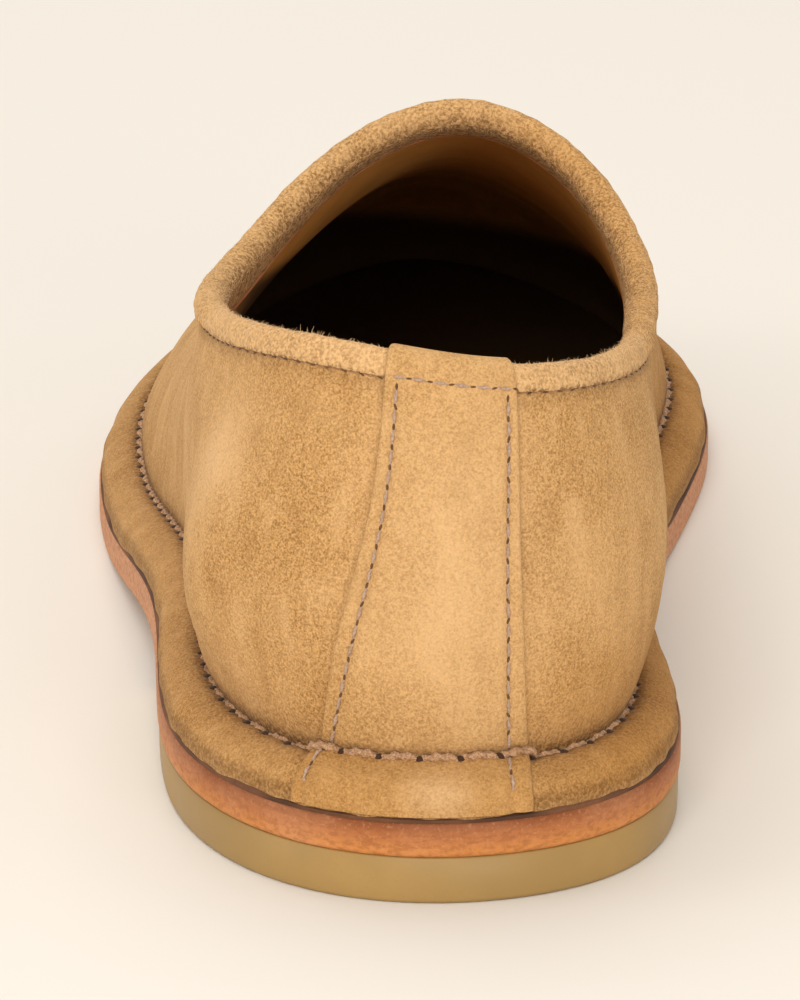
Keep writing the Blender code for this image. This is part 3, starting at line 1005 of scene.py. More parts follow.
class Look(Enum):
    """Finishes of the shoe."""

    SUEDE = SuedeFinish("sand_suede")
    STRAP_SUEDE = SuedeFinish("strap_suede", dark=(0.34, 0.170, 0.052), light=(0.64, 0.370, 0.142))
    BINDING_SUEDE = SuedeFinish(
        "binding_suede",
        dark=(0.27, 0.128, 0.036),
        light=(0.76, 0.455, 0.190),
        grain=Grain(2100.0, 3.0),
        flecks=Grain(1300.0),
        light_grain=Span(0.34, 0.66),
        pits=Span(0.55, 0.41, 0.08),
        fleck_depth=0.36,
    )
    SOLE = SoleLeatherFinish("sole_leather_edge")
    RUBBER = RubberFinish("olive_tan_rubber")
    # Layer under the flange, painted dark for the shade in the gap there.
    MIDSOLE = SmoothLeatherFinish("dark_layer_edge", (0.200, 0.082, 0.036), (0.055, 0.022, 0.010), 0.8)
    LINING = SmoothLeatherFinish("tan_lining", (0.88, 0.46, 0.115), (0.74, 0.36, 0.084), 0.55)
    SOCK = SmoothLeatherFinish("tan_sock", (0.40, 0.19, 0.062), (0.30, 0.135, 0.042), 0.45)
    RIM = SmoothLeatherFinish("lining_cut_edge", (0.56, 0.235, 0.095), (0.44, 0.165, 0.060), 0.6)
    # Pale loose fibres, made paler still as a painted highlight where they catch the light.
    FIBRE = ThreadFinish("suede_fibre", (0.94, 0.68, 0.40), (0.72, 0.45, 0.20), 0.9)
    FLANGE_THREAD = ThreadFinish("flange_thread", (0.60, 0.36, 0.20), (0.28, 0.135, 0.062))
    STRAP_THREAD = ThreadFinish("strap_thread", (0.52, 0.37, 0.28), (0.35, 0.22, 0.14))
    COLLAR_THREAD = ThreadFinish("collar_thread", (0.46, 0.25, 0.10), (0.26, 0.125, 0.045))
    # Dark beads painted for the shade inside needle holes.
    HOLE = ThreadFinish("needle_hole", (0.070, 0.032, 0.013), (0.035, 0.015, 0.006), 0.95)
    FINE_HOLE = ThreadFinish("fine_hole", (0.17, 0.085, 0.036), (0.085, 0.040, 0.016), 0.95)

    @cached_property
    def material(self) -> Material:
        """The finish as a material, made once."""
        return self.value.material()


def show(mesh: Mesh, look: Look, slot: Slot | None = None, *nodes: str) -> None:
    """Puts a finished mesh into the scene as a piece of its own name that rides with the shoe.

    Args:
        mesh: The mesh, in place.
        look: Its finish.
        slot: The record's slot; not used.
        *nodes: Solids that it stands for.
    """
    mesh.materials.clear()
    mesh.materials.append(look.material)
    piece = bpy.data.objects.new(mesh.name, mesh)
    bpy.context.scene.collection.objects.link(piece)
    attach(piece, BODY)
    if nodes:
        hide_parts(*nodes)
    log.info("%s: %d faces", mesh.name, len(mesh.polygons))


class PathTree(NodeBuilder):
    """Base of the Geometry Nodes trees: named inputs, one output and a plain mesh at the end."""

    name: str = ""
    sizes: dict[str, float | int] = {}

    def __init__(self) -> None:
        """Builds the tree, which ends in realized instances with their material."""
        self.tree = bpy.data.node_groups.new(self.name, "GeometryNodeTree")
        face = self.tree.interface
        face.new_socket("Geometry", in_out="INPUT", socket_type="NodeSocketGeometry")
        for label, size in self.sizes.items():
            kind = "NodeSocketInt" if isinstance(size, int) else "NodeSocketFloat"
            face.new_socket(label, in_out="INPUT", socket_type=kind).default_value = size
        face.new_socket("Material", in_out="INPUT", socket_type="NodeSocketMaterial")
        face.new_socket("Geometry", in_out="OUTPUT", socket_type="NodeSocketGeometry")
        self.entry = self.node("NodeGroupInput")
        real = self.out("GeometryNodeRealizeInstances", Geometry=self.body())
        smooth = self.out("GeometryNodeSetShadeSmooth", Geometry=real)
        material = self.entry.outputs["Material"]
        finish = self.out("GeometryNodeSetMaterial", Geometry=smooth, Material=material)
        self.node("NodeGroupOutput", Geometry=finish)

    def body(self) -> Socket:
        """The tree's own part, filled in by each kind of tree."""
        raise NotImplementedError

    def vector(self, x: Value, y: Value, z: Value) -> Socket:
        """A vector from three values."""
        return self.out("ShaderNodeCombineXYZ", X=x, Y=y, Z=z)

    def seated(self) -> Socket:
        """Rotation that lays X along a point's run and Z along its normal, a little uneven."""
        kind = {"data_type": "FLOAT_VECTOR"}
        run, normal = (
            self.out("GeometryNodeInputNamedAttribute", kind, Name=name) for name in ("run", "normal")
        )
        along = self.out("FunctionNodeAlignRotationToVector", {"axis": "X"}, Vector=run)
        seat = self.out(
            "FunctionNodeAlignRotationToVector",
            {"axis": "Z", "pivot_axis": "X"},
            Rotation=along,
            Vector=normal,
        )
        most = self.entry.outputs["Unevenness"]
        angle = self.out(
            "FunctionNodeRandomValue",
            {"data_type": "FLOAT"},
            Min=self.times(most, -1.0),
            Max=most,
            Seed=self.entry.outputs["Seed"],
        )
        turn = self.out("FunctionNodeAxisAngleToRotation", Axis=(0.0, 0.0, 1.0), Angle=angle)
        return self.out(
            "FunctionNodeRotateRotation", {"rotation_space": "LOCAL"}, Rotation=seat, Rotate_By=turn
        )

    def run(self, name: str, source: Mesh, look: Look, **values: float | int) -> Mesh:
        """Runs the tree on a mesh.

        Args:
            name: Name of the new mesh.
            source: Points, line or faces that the tree works on.
            look: Finish of the result.
            **values: Sizes by the labels of the tree's inputs.

        Returns:
            A plain mesh.
        """
        carrier = bpy.data.objects.new(name + "_source", source)
        bpy.context.scene.collection.objects.link(carrier)
        modifier = carrier.modifiers.new(self.name, "NODES")
        modifier.node_group = self.tree
        inputs = (item for item in self.tree.interface.items_tree if item.in_out == "INPUT")
        labels = {item.name: item.identifier for item in inputs}
        modifier[labels["Material"]] = look.material
        for label, value in values.items():
            modifier[labels[label.capitalize()]] = value
        graph = bpy.context.evaluated_depsgraph_get()
        mesh = bpy.data.meshes.new_from_object(carrier.evaluated_get(graph))
        mesh.name = name
        carrier.modifiers.remove(modifier)
        bpy.data.objects.remove(carrier)
        bpy.data.meshes.remove(source)
        return mesh


class StitchTree(PathTree):
    """A twisted stitch at each point, arched over the surface, with its ends drawn in."""

    name = "stitch_row"
    sizes = {
        "Length": 0.004,
        "Radius": 0.0006,
        "Arch": 0.0005,
        "Sink": 0.0006,
        "Twists": 1.5,
        "Unevenness": 0.05,
        "Seed": 1,
    }
    flatness = 0.62
    steps = 14
    sides = 8
    end_slim = 0.45  # how much thinner a stitch is at its ends
    end_power = 4.0  # how close to its ends that sets in

    def body(self) -> Socket:
        """Stitches on the points of the source."""
        size = self.entry.outputs
        half = self.times(size["Length"], 0.5)
        sunk = self.times(size["Sink"], -1.0)
        arc = self.out(
            "GeometryNodeCurveQuadraticBezier",
            Resolution=self.steps,
            Start=self.vector(self.times(half, -1.0), 0.0, sunk),
            Middle=self.vector(0.0, 0.0, self.times(size["Arch"], 2.0)),
            End=self.vector(half, 0.0, sunk),
        )
        share = self.out("GeometryNodeSplineParameter")
        turns = self.times(self.times(share, size["Twists"]), 2 * math.pi)
        twisted = self.out("GeometryNodeSetCurveTilt", Curve=arc, Tilt=turns)
        off_middle = self.math("ABSOLUTE", self.math("SUBTRACT", self.times(share, 2.0), 1.0))
        thinned = self.times(self.math("POWER", off_middle, self.end_power), self.end_slim)
        slim = self.math("SUBTRACT", 1.0, thinned)
        tapered = self.out("GeometryNodeSetCurveRadius", Curve=twisted, Radius=slim)
        ring = self.out("GeometryNodeCurvePrimitiveCircle", Resolution=self.sides, Radius=size["Radius"])
        oval = self.out("GeometryNodeTransform", Geometry=ring, Scale=(1.0, self.flatness, 1.0))
        thread = self.out("GeometryNodeCurveToMesh", Curve=tapered, Profile_Curve=oval, Fill_Caps=True)
        return self.out(
            "GeometryNodeInstanceOnPoints", Points=size["Geometry"], Instance=thread, Rotation=self.seated()
        )


class HoleTree(PathTree):
    """A needle hole at each point, as a shallow sunken bead that is painted dark for the shade inside it.
    """

    name = "needle_holes"
    sizes = {"Length": 0.001, "Width": 0.0007, "Depth": 0.0004, "Unevenness": 0.1, "Seed": 1}
    segments = 8
    rings = 5

    def body(self) -> Socket:
        """Holes on the points of the source."""
        size = self.entry.outputs
        bead = self.out("GeometryNodeMeshUVSphere", Segments=self.segments, Rings=self.rings, Radius=0.5)
        return self.out(
            "GeometryNodeInstanceOnPoints",
            Points=size["Geometry"],
            Instance=bead,
            Rotation=self.seated(),
            Scale=self.vector(size["Length"], size["Width"], size["Depth"]),
        )


class FibreTree(PathTree):
    """Loose suede fibres over the faces of a strip."""

    name = "loose_fibres"
    sizes = {
        "Density": 500000.0,
        "Shortest": 0.0004,
        "Longest": 0.0012,
        "Thickness": 0.00007,
        "Lean": 0.9,
        "Seed": 1,
    }
    sides = 3
    tip = 0.25  # thickness of a fibre's tip, as a share of its root's
    root = -0.1  # how deep it stands, as a share of its length
    long_power = 3.0  # how few of the fibres are long
    length_seed = 7

    def body(self) -> Socket:
        """Fibres on the faces of the source."""
        size = self.entry.outputs
        roots = self.node(
            "GeometryNodeDistributePointsOnFaces",
            {"distribute_method": "RANDOM"},
            Mesh=size["Geometry"],
            Density=size["Density"],
            Seed=size["Seed"],
        )
        cone = self.out(
            "GeometryNodeMeshCone",
            {"fill_type": "NONE"},
            Vertices=self.sides,
            Side_Segments=1,
            Radius_Top=self.tip,
            Radius_Bottom=1.0,
            Depth=1.0,
        )
        fibre = self.out("GeometryNodeTransform", Geometry=cone, Translation=(0.0, 0.0, self.root))
        most = size["Lean"]
        least = self.times(most, -1.0)
        lean = self.out(
            "FunctionNodeRandomValue",
            {"data_type": "FLOAT_VECTOR"},
            Min=self.vector(least, least, 0.0),
            Max=self.vector(most, most, 2 * math.pi),
            Seed=size["Seed"],
        )
        turned = self.out(
            "FunctionNodeRotateRotation",
            {"rotation_space": "LOCAL"},
            Rotation=roots.outputs["Rotation"],
            Rotate_By=self.out("FunctionNodeEulerToRotation", Euler=lean),
        )
        kind = {"data_type": "FLOAT"}
        chance = self.out("FunctionNodeRandomValue", kind, Min=0.0, Max=1.0, Seed=self.length_seed)
        share = self.math("POWER", chance, self.long_power)
        span = self.math("SUBTRACT", size["Longest"], size["Shortest"])
        reach = self.out("GeometryNodeInputNamedAttribute", kind, Name="reach")
        length = self.math("ADD", self.times(self.times(share, span), reach), size["Shortest"])
        return self.out(
            "GeometryNodeInstanceOnPoints",
            Points=roots.outputs["Points"],
            Instance=fibre,
            Rotation=turned,
            Scale=self.vector(size["Thickness"], size["Thickness"], length),
        )


class BeadTree(PathTree):
    """A round bead along the edges of the source."""

    name = "edge_bead"
    sizes = {"Radius": 0.0005}
    sides = 8

    def body(self) -> Socket:
        """The bead."""
        size = self.entry.outputs
        line = self.out("GeometryNodeMeshToCurve", Mesh=size["Geometry"])
        ring = self.out("GeometryNodeCurvePrimitiveCircle", Resolution=self.sides, Radius=size["Radius"])
        return self.out("GeometryNodeCurveToMesh", Curve=line, Profile_Curve=ring)


@dataclass
class Trees:
    """The Geometry Nodes trees, each built once."""

    stitch: StitchTree = field(default_factory=StitchTree)
    hole: HoleTree = field(default_factory=HoleTree)
    fibre: FibreTree = field(default_factory=FibreTree)
    bead: BeadTree = field(default_factory=BeadTree)


def rows_at(where: Array, lengths: Array, rows: Array) -> Array:
    """Rows of vectors read at lengths along a line."""
    return np.stack([np.interp(where, lengths, rows[:, axis]) for axis in range(3)], axis=-1)


@dataclass
class Seam:
    """A sewn line on the skin, read closely and then cut into stitches of one pitch."""

    points: Array
    normals: Array
    closed: bool = False
    feeler: float = 0.4  # millimetres either side of a mark where the run is read
    lengths: Array | None = None  # length along the seam at each point, where it isn't measured

    def marks(self, pitch: float, start: float) -> tuple[Array, Array, Array]:
        """Evenly spaced marks along the seam.

        Args:
            pitch: Distance between marks, stretched a little to fit a whole number.
            start: Share of a pitch before the first mark.

        Returns:
            Points, runs and normals at the marks.
        """
        points = np.concatenate([self.points, self.points[:1]]) if self.closed else self.points
        normals = np.concatenate([self.normals, self.normals[:1]]) if self.closed else self.normals
        lengths = self.lengths
        if lengths is None:
            lengths = np.append(0.0, np.cumsum(np.linalg.norm(np.diff(points, axis=0), axis=1)))
        count = max(1, round(lengths[-1] / pitch))
        at = (np.arange(count) + start) * lengths[-1] / count
        ahead = rows_at(np.minimum(at + self.feeler, lengths[-1]), lengths, points)
        behind = rows_at(np.maximum(at - self.feeler, 0.0), lengths, points)
        return rows_at(at, lengths, points), unit(ahead - behind), unit(rows_at(at, lengths, normals))


@dataclass(frozen=True)
class Sewing:
    """Sizes of one kind of stitch and its needle holes."""

    pitch: float
    length: float
    radius: float
    arch: float
    sink: float
    twists: float
    hole_length: float
    hole_width: float
    hole_depth: float
    unevenness: float
    seed: int
    start: float = 0.0  # pitches before the first hole
    slant: float = 0.45  # how far the holes turn either way


FLANGE_SEWING = Sewing(
    pitch=FLANGE_PITCH, length=5.2, radius=0.80, arch=0.56, sink=0.60, twists=1.5,
    hole_length=1.7, hole_width=1.5, hole_depth=0.9,
    unevenness=0.10, seed=3, start=FLANGE_START, slant=0.2,
)
STRAP_SEWING = Sewing(
    pitch=3.0, length=2.2, radius=0.30, arch=0.30, sink=0.20, twists=1.0,
    hole_length=1.15, hole_width=0.46, hole_depth=0.34, unevenness=0.08, seed=5,
)
COLLAR_SEWING = Sewing(
    pitch=2.8, length=2.1, radius=0.16, arch=0.08, sink=0.25, twists=1.0,
    hole_length=1.10, hole_width=0.30, hole_depth=0.30, unevenness=0.08, seed=9,
)


@dataclass
class Needlework:
    """Sews seams, each as a piece of stitches and a piece of needle holes."""

    form: ShoeForm
    trees: Trees

    def row(self, sewing: Sewing, name: str, seams: list[Seam], start: float) -> Mesh:
        """Loose points along seams that carry the run and the normal there.

        Args:
            sewing: Sizes of the sewing.
            name: Name of the piece that the points are for.
            seams: The sewn lines.
            start: Pitches before the first point.

        Returns:
            A mesh of loose points.
        """
        marks = zip(*(seam.marks(sewing.pitch, start) for seam in seams))
        points, runs, normals = (np.concatenate(rows) for rows in marks)
        mesh = mesh_of(self.form, name + "_points", points)
        set_mark(mesh, "run", runs)
        set_mark(mesh, "normal", normals)
        return mesh

    def stitches(self, sewing: Sewing, name: str, seams: list[Seam], thread: Look) -> None:
        """Sews a stitch halfway between each two holes.

        Args:
            sewing: Sizes of the sewing.
            name: Name of the piece.
            seams: The sewn lines.
            thread: Finish of the thread.
        """
        mesh = self.trees.stitch.run(
            name,
            self.row(sewing, name, seams, sewing.start + 0.5),
            thread,
            length=sewing.length * MM,
            radius=sewing.radius * MM,
            arch=sewing.arch * MM,
            sink=sewing.sink * MM,
            twists=sewing.twists,
            unevenness=sewing.unevenness,
            seed=sewing.seed,
        )
        show(mesh, thread)

    def needle_holes(self, sewing: Sewing, name: str, seams: list[Seam], dark: Look) -> None:
        """Pricks the holes between the stitches.

        Args:
            sewing: Sizes of the sewing.
            name: Name of the piece.
            seams: The sewn lines.
            dark: Finish of the holes.
        """
        mesh = self.trees.hole.run(
            name,
            self.row(sewing, name, seams, sewing.start),
            dark,
            length=sewing.hole_length * MM,
            width=sewing.hole_width * MM,
            depth=sewing.hole_depth * MM,
            unevenness=sewing.slant,
            seed=sewing.seed,
        )
        show(mesh, dark)


@dataclass
class Sole:
    """Rubber heel, leather outsole, the layer above it painted dark for the shade in the gap under the
    flange, and the sock inside.
    """

    form: ShoeForm
    edge_round: float = 0.8
    top_round: float = 0.25
    heel_taper: float = 0.4
    heel_breast: float = 0.33  # share of the length where the heel ends
    side_rows: tuple[float, ...] = (0.4, 0.6, 0.8)  # shares up the outsole's side
    filler_rows: tuple[float, ...] = (0.08, 0.2, 0.4, 0.7, 1.0)  # shares of the way in under the flange
    insole_thick: float = 2.5
    insole_round: float = 0.5
    insole_turn: tuple[float, float] = (0.3, 0.7)  # shares in and up, halfway round that edge
    insole_skive: float = 1.3
    round_steps: int = 5
    stations: int = 130
    joint: float = 0.02  # left between layers that touch

    def rounding(self, radius: float) -> list[tuple[float, float]]:
        """Inset and height of the steps of a rounded lower edge."""
        turns = [math.pi / 2 * step / self.round_steps for step in range(self.round_steps + 1)]
        return [(radius * (1 - math.sin(turn)), radius * (1 - math.cos(turn))) for turn in turns]

    def around(self) -> Array:
        """Places up the sole's outer side and back down its inner side."""
        return self.form.pairs_at(self.form.stations(self.stations))

    def stack(self, around: Array, base: Array | float, levels: list[tuple[float, float]]) -> Array:
        """Loops of the sole's outline, one for each inset and height over a base."""
        outline = self.form.outline
        return np.array([upright(outline(around, inset), base + height) for inset, height in levels])

    def build(self) -> None:
        """Builds the pieces from the floor up."""
        self.build_heel()
        self.build_outsole()
        self.build_midsole()
        self.build_insole()

    def build_heel(self) -> None:
        """Rubber block, straight at the breast, with a rounded tread edge."""
        form = self.form
        breast = self.heel_breast * form.length
        alongs = form.stations(self.stations)
        around = form.pairs_at(np.append(alongs[alongs < breast - self.edge_round], breast))
        top = form.heel_lift - self.joint
        levels = [(self.heel_taper + inset, height) for inset, height in self.rounding(self.edge_round)]
        levels += [(form.gap, top - self.top_round), (form.gap + self.top_round, top)]
        mesh = loft(form, "heel_block", self.stack(around, 0.0, levels), False)
        show(mesh, Look.RUBBER, Slot.RUBBER, "heel")

    def build_outsole(self) -> None:
        """Leather sole with a lightly rounded edge."""
        form = self.form
        around = self.around()
        under = form.tread(form.column(around, "along"))
        thick = form.outsole_thick + form.gap - self.joint
        levels = self.rounding(self.edge_round)
        levels += [(0.0, thick * share) for share in self.side_rows]
        levels += [(0.0, thick - self.top_round), (self.top_round, thick)]
        loops = self.stack(around, under, levels)
        heights = np.array([height / thick for _, height in levels])[:, None]
        underside = np.eye(len(levels), 1)
        mesh = loft(form, "leather_outsole", loops, False, level=heights, underside=underside)
        show(mesh, Look.SOLE, Slot.SOLE, "outsole")

    def build_midsole(self) -> None:
        """Layer between sole and flange, filled up under the flange and painted dark for the shade in the
        gap there.
        """
        form = self.form
        around = self.around()
        level = form.seat(around) - form.gap
        inset = form.flange_margin / 2
        edge = self.stack(around, level, [(inset, -form.midsole_thick), (inset, 0.0)])
        filler = [
            upright(form.flange_line(around, share), level + form.flange_lift(share))
            for share in self.filler_rows
        ]
        mesh = loft(form, "midsole_layer", np.concatenate([edge, filler]), False)
        show(mesh, Look.MIDSOLE, Slot.MIDSOLE, "midsole")

    def build_insole(self) -> None:
        """Leather sock with a softened upper edge."""
        form = self.form
        around = self.around()
        inset = form.flange_width + form.wall_thick + 2 * form.gap
        level = form.seat(around) + form.flange_rise
        soft = self.insole_round
        low = self.insole_thick - soft
        skive = self.insole_skive * low / self.insole_thick
        inward, up = self.insole_turn
        turn = (skive + inward * soft, low + up * soft)
        steps = [(0.0, 0.0), (skive, low), turn, (skive + soft, low + soft)]
        loops = self.stack(around, level, [(inset + more, height) for more, height in steps])
        # Painted shadow darkens the sock under the vamp.
        mesh = loft(form, "insole_sock", loops, False, deep=form.deep(loops))
        show(mesh, Look.SOCK, Slot.LINING, "insole")


@dataclass
class BackStrap:
    """Suede strap over the heel seam, sewn down along both sides and turned over the collar."""

    form: ShoeForm
    climbs: tuple[float, ...] = (-1.0, 0.0, 0.3, 0.6, 1.0)
    outer_halves: tuple[float, ...] = (23.0, 17.9, 15.5, 11.8, 9.2)
    inner_halves: tuple[float, ...] = (14.0, 13.0, 12.0, 10.6, 9.4)
    thick: float = 1.2
    pared: float = 0.6
    foot_thick: float = 0.55
    foot_fade: float = 0.25  # climbs over which it is pared at the flange's edge
    foot_drop: float = 0.9  # how far it is turned down over the lip
    foot_tan: float = 0.52  # how far painted shade darkens it on the flange
    tan_fade: float = 0.1  # climbs below the crease over which that sets in
    step_up: tuple[float, float] = (0.87, 0.95)
    binding_thick: float = 1.0
    binding_slim: float = 0.4  # share of the binding's height that lies outside, under the strap
    turned_in: float = 6.0
    edge_round: float = 0.8
    edge_left: float = 0.2
    edge_dark: Layers = ((0.35, 0.02),)  # painted shade along its edges, over shares of the half width
    crease_dark: Layers = ((0.50, 1.6), (0.28, 6.5))  # painted shade near the crease, over millimetres from the crease
    seam_in_outer: tuple[float, ...] = (1.9, 1.9, 2.7, 2.2, 1.6)  # from the strap's edge, at its climbs
    seam_in_inner: tuple[float, ...] = (2.9, 2.9, 2.5, 2.2, 1.6)
    seam_spans: tuple[tuple[float, float], ...] = ((0.955, 0.02), (-0.12, -0.93))  # climbs, downwards
    seam_points: int = 400
    seam_dip: float = 0.42
    seam_width: float = 0.75
    seam_fade: float = 0.06  # climbs below the collar over which the side seams stop drawing in
    collar_seam_depth: float = 1.4
    collar_seam_in: float = 0.5  # from the strap's edges
    collar_seam_sunk: float = 0.1
    collar_seam_points: int = 80
    cover_ease: float = 1.2  # width over which the flange seam climbs onto the strap
    across_steps: int = 73
    edge_crowd: float = 0.45  # how far the columns crowd towards the edges
    rows: int = 150
    foot_rows: float = 0.2  # share of the rows that lie on the flange
    turn_rows: int = 10
    inside_rows: int = 6
    reach: float = 0.25  # sections either side of the heel seam where widths are measured

    def by_side(self, climb: Array, across: Array, outer: tuple, inner: tuple) -> Array:
        """Values at the strap's climbs, read on its outer (positive across) or inner side."""
        sides = (smooth_through(climb, np.array(self.climbs), np.array(row)) for row in (outer, inner))
        return np.where(np.asarray(across) > 0, *sides)

    def half(self, climb: Array, across: Array) -> Array:
        """Half width at a climb, to the side that a distance across lies on."""
        return self.by_side(climb, across, self.outer_halves, self.inner_halves)

    def seam_in(self, climb: Array, across: Array) -> Array:
        """Distance of the side seam from the strap's edge, on the side that a distance across lies on."""
        return self.by_side(climb, across, self.seam_in_outer, self.seam_in_inner)

    def place(self, climb: Array, across: Array) -> Array:
        """Place at a distance from the heel seam.

        Args:
            climb: Climbs.
            across: Distances from the heel seam, positive to the outer side.

        Returns:
            Places round the shoe.
        """
        ends = np.array([-self.reach, self.reach])
        climb = np.asarray(climb, float)
        low = self.form.flange(ends, np.clip(1 + climb, 0, 1)[..., None] * np.ones(2))
        high = self.form.wall(ends, np.maximum(climb, 0)[..., None] * np.ones(2))
        line = np.where((climb < 0)[..., None, None], low, high)
        per_section = np.linalg.norm(line[..., 1, :] - line[..., 0, :], axis=-1) / (2 * self.reach)
        return across / per_section

    def stepped(self, climb: Array) -> Array:
        """0 on the wall, 1 where the strap lies on the binding."""
        return ease((climb - self.step_up[0]) / np.ptp(self.step_up))

    def bed(self, climb: Array) -> Array:
        """Height of the strap's underside off the skin, up onto the binding near the top."""
        gap = self.form.gap
        return gap + self.binding_slim * (gap + self.binding_thick) * self.stepped(climb)

    def thickness(self, climb: Array) -> Array:
        """Thickness of the strap, pared at the flange's edge and where it turns over the collar."""
        at_top = (self.pared - self.thick) * self.stepped(climb)
        at_foot = (self.foot_thick - self.thick) * ease(1 - (climb + 1) / self.foot_fade)
        return self.thick + at_top + at_foot

    def face(self, climb: Array, across: Array) -> Array:
        """Height of the strap's outer face off the skin.

        Args:
            climb: Climbs.
            across: Distances from the heel seam, positive to the outer side.

        Returns:
            Heights, rounded at the edges and drawn in along the seams.
        """
        from_edge = np.maximum(self.half(climb, across) - np.abs(across), 0.0)
        body = self.edge_left + (1 - self.edge_left) * rounded(from_edge / self.edge_round)
        drawn_in = self.seam_dip * bell(from_edge - self.seam_in(climb, across), self.seam_width)
        dip = drawn_in * ease((1 - climb) / self.seam_fade)
        return self.bed(climb) + self.thickness(climb) * body - dip

    def cover(self, place: Array) -> Array:
        """Height that the strap adds at the crease, for the flange seam that runs over it."""
        across = self.form.from_heel(place) / self.place(np.zeros(()), np.ones(()))
        onto = self.half(0.0, across) + self.cover_ease / 2 - np.abs(across)
        return (self.form.gap + self.thick) * ease(onto / self.cover_ease)

    def grid(self) -> tuple[Array, Array]:
        """Climbs of the rows up the outside, and shares of the half width at the columns."""
        share = np.linspace(0, 1, self.rows)
        foot = self.foot_rows
        climbs = np.where(share < foot, -1 + share / foot, (share - foot) / (1 - foot))
        even = np.linspace(-1, 1, self.across_steps)
        crowded = np.sign(even) * rounded(np.abs(even))
        spread = crowded * self.edge_crowd + even * (1 - self.edge_crowd)
        return np.append(-1.0, climbs)[:, None], spread[None, :]

    def sheet(self, climbs: Array, places: Array, height: Array) -> Array:
        """One face of the strap, from the flange's lip up over the collar and down inside it.

        Args:
            climbs: Climbs of the rows up the outside, the first one twice.
            places: Places of the points there.
            height: Their heights off the skin.

        Returns:
            Points as (row, column, xyz).
        """
        form = self.form
        outside = form.skin(places, climbs, height)
        outside[0, :, 2] -= self.foot_drop
        top, rise = places[-1:], height[-1:]
        full = (1 - self.binding_slim) * (form.gap + self.binding_thick)
        rows = [outside]
        for angle in np.linspace(0, np.pi, self.turn_rows + 2)[1:-1]:
            radius = form.wall_thick / 2 + rise + full * ease(2 * angle / np.pi)
            rows.append(form.collar_turn(top, radius, angle + 0 * rise))
        for depth in np.linspace(0, self.turned_in, self.inside_rows):
            rows.append(form.skin(top, form.share_at(top, depth), -form.wall_thick - rise - full))
        return np.concatenate(rows)

    def build(self) -> None:
        """Builds the strap as one closed body."""
        form = self.form
        climbs, spread = self.grid()
        across = spread * self.half(climbs, spread)
        places = self.place(climbs, across)
        inner = self.sheet(climbs, places, self.bed(climbs) + 0 * across)
        outer = self.sheet(climbs, places, self.face(climbs, across))
        loops = np.concatenate([inner, outer[:, ::-1]], axis=1)
        outside = slice(len(climbs))
        crevice = np.zeros(loops.shape[:2])
        # Painted shade along the strap's edges and near the crease.
        crevice[:, self.across_steps :] = bells(1 - np.abs(spread), self.edge_dark)[:, ::-1]
        near = bells(form.from_crease(climbs), self.crease_dark)
        crevice[outside] = np.maximum(crevice[outside], near)
        # Painted shade on the strap's foot.
        tanned = np.zeros(loops.shape[:2])
        tanned[outside] = self.foot_tan * ease(-climbs / self.tan_fade)
        # Painted highlights and wear.
        rubbed = form.rubbed(loops)
        mesh = loft(form, "heel_strap", loops, False, crevice=crevice, rubbed=rubbed, tanned=tanned)
        show(mesh, Look.STRAP_SUEDE, Slot.SUEDE, "back_strap")

    def side_seams(self) -> list[Seam]:
        """The two seams down the strap's sides, from under the collar to the flange's edge."""
        form = self.form
        seams = []
        for side in (1.0, -1.0):
            for high, low in self.seam_spans:
                climbs = np.linspace(high, low, self.seam_points)
                across = side * (self.half(climbs, side) - self.seam_in(climbs, side))
                places = self.place(climbs, across)
                points = form.skin(places, climbs, self.face(climbs, across))
                seams.append(Seam(points, form.lift(places, climbs)))
        return seams

    def collar_seam(self) -> Seam:
        """The seam across the strap under the collar's edge."""
        form = self.form
        inner = self.collar_seam_in - self.inner_halves[-1]
        outer = self.outer_halves[-1] - self.collar_seam_in
        across = np.linspace(inner, outer, self.collar_seam_points)
        places = self.place(np.ones_like(across), across)
        climbs = form.share_at(places, self.collar_seam_depth)
        height = self.face(climbs, across) - self.collar_seam_sunk
        return Seam(form.skin(places, climbs, height), form.lift(places, climbs))


@dataclass(frozen=True)
class SeamLine:
    """Where a line of the flange seam lies."""

    climb: float
    rise: float  # height off the strap
    sunk: float  # how much deeper it lies beside the strap


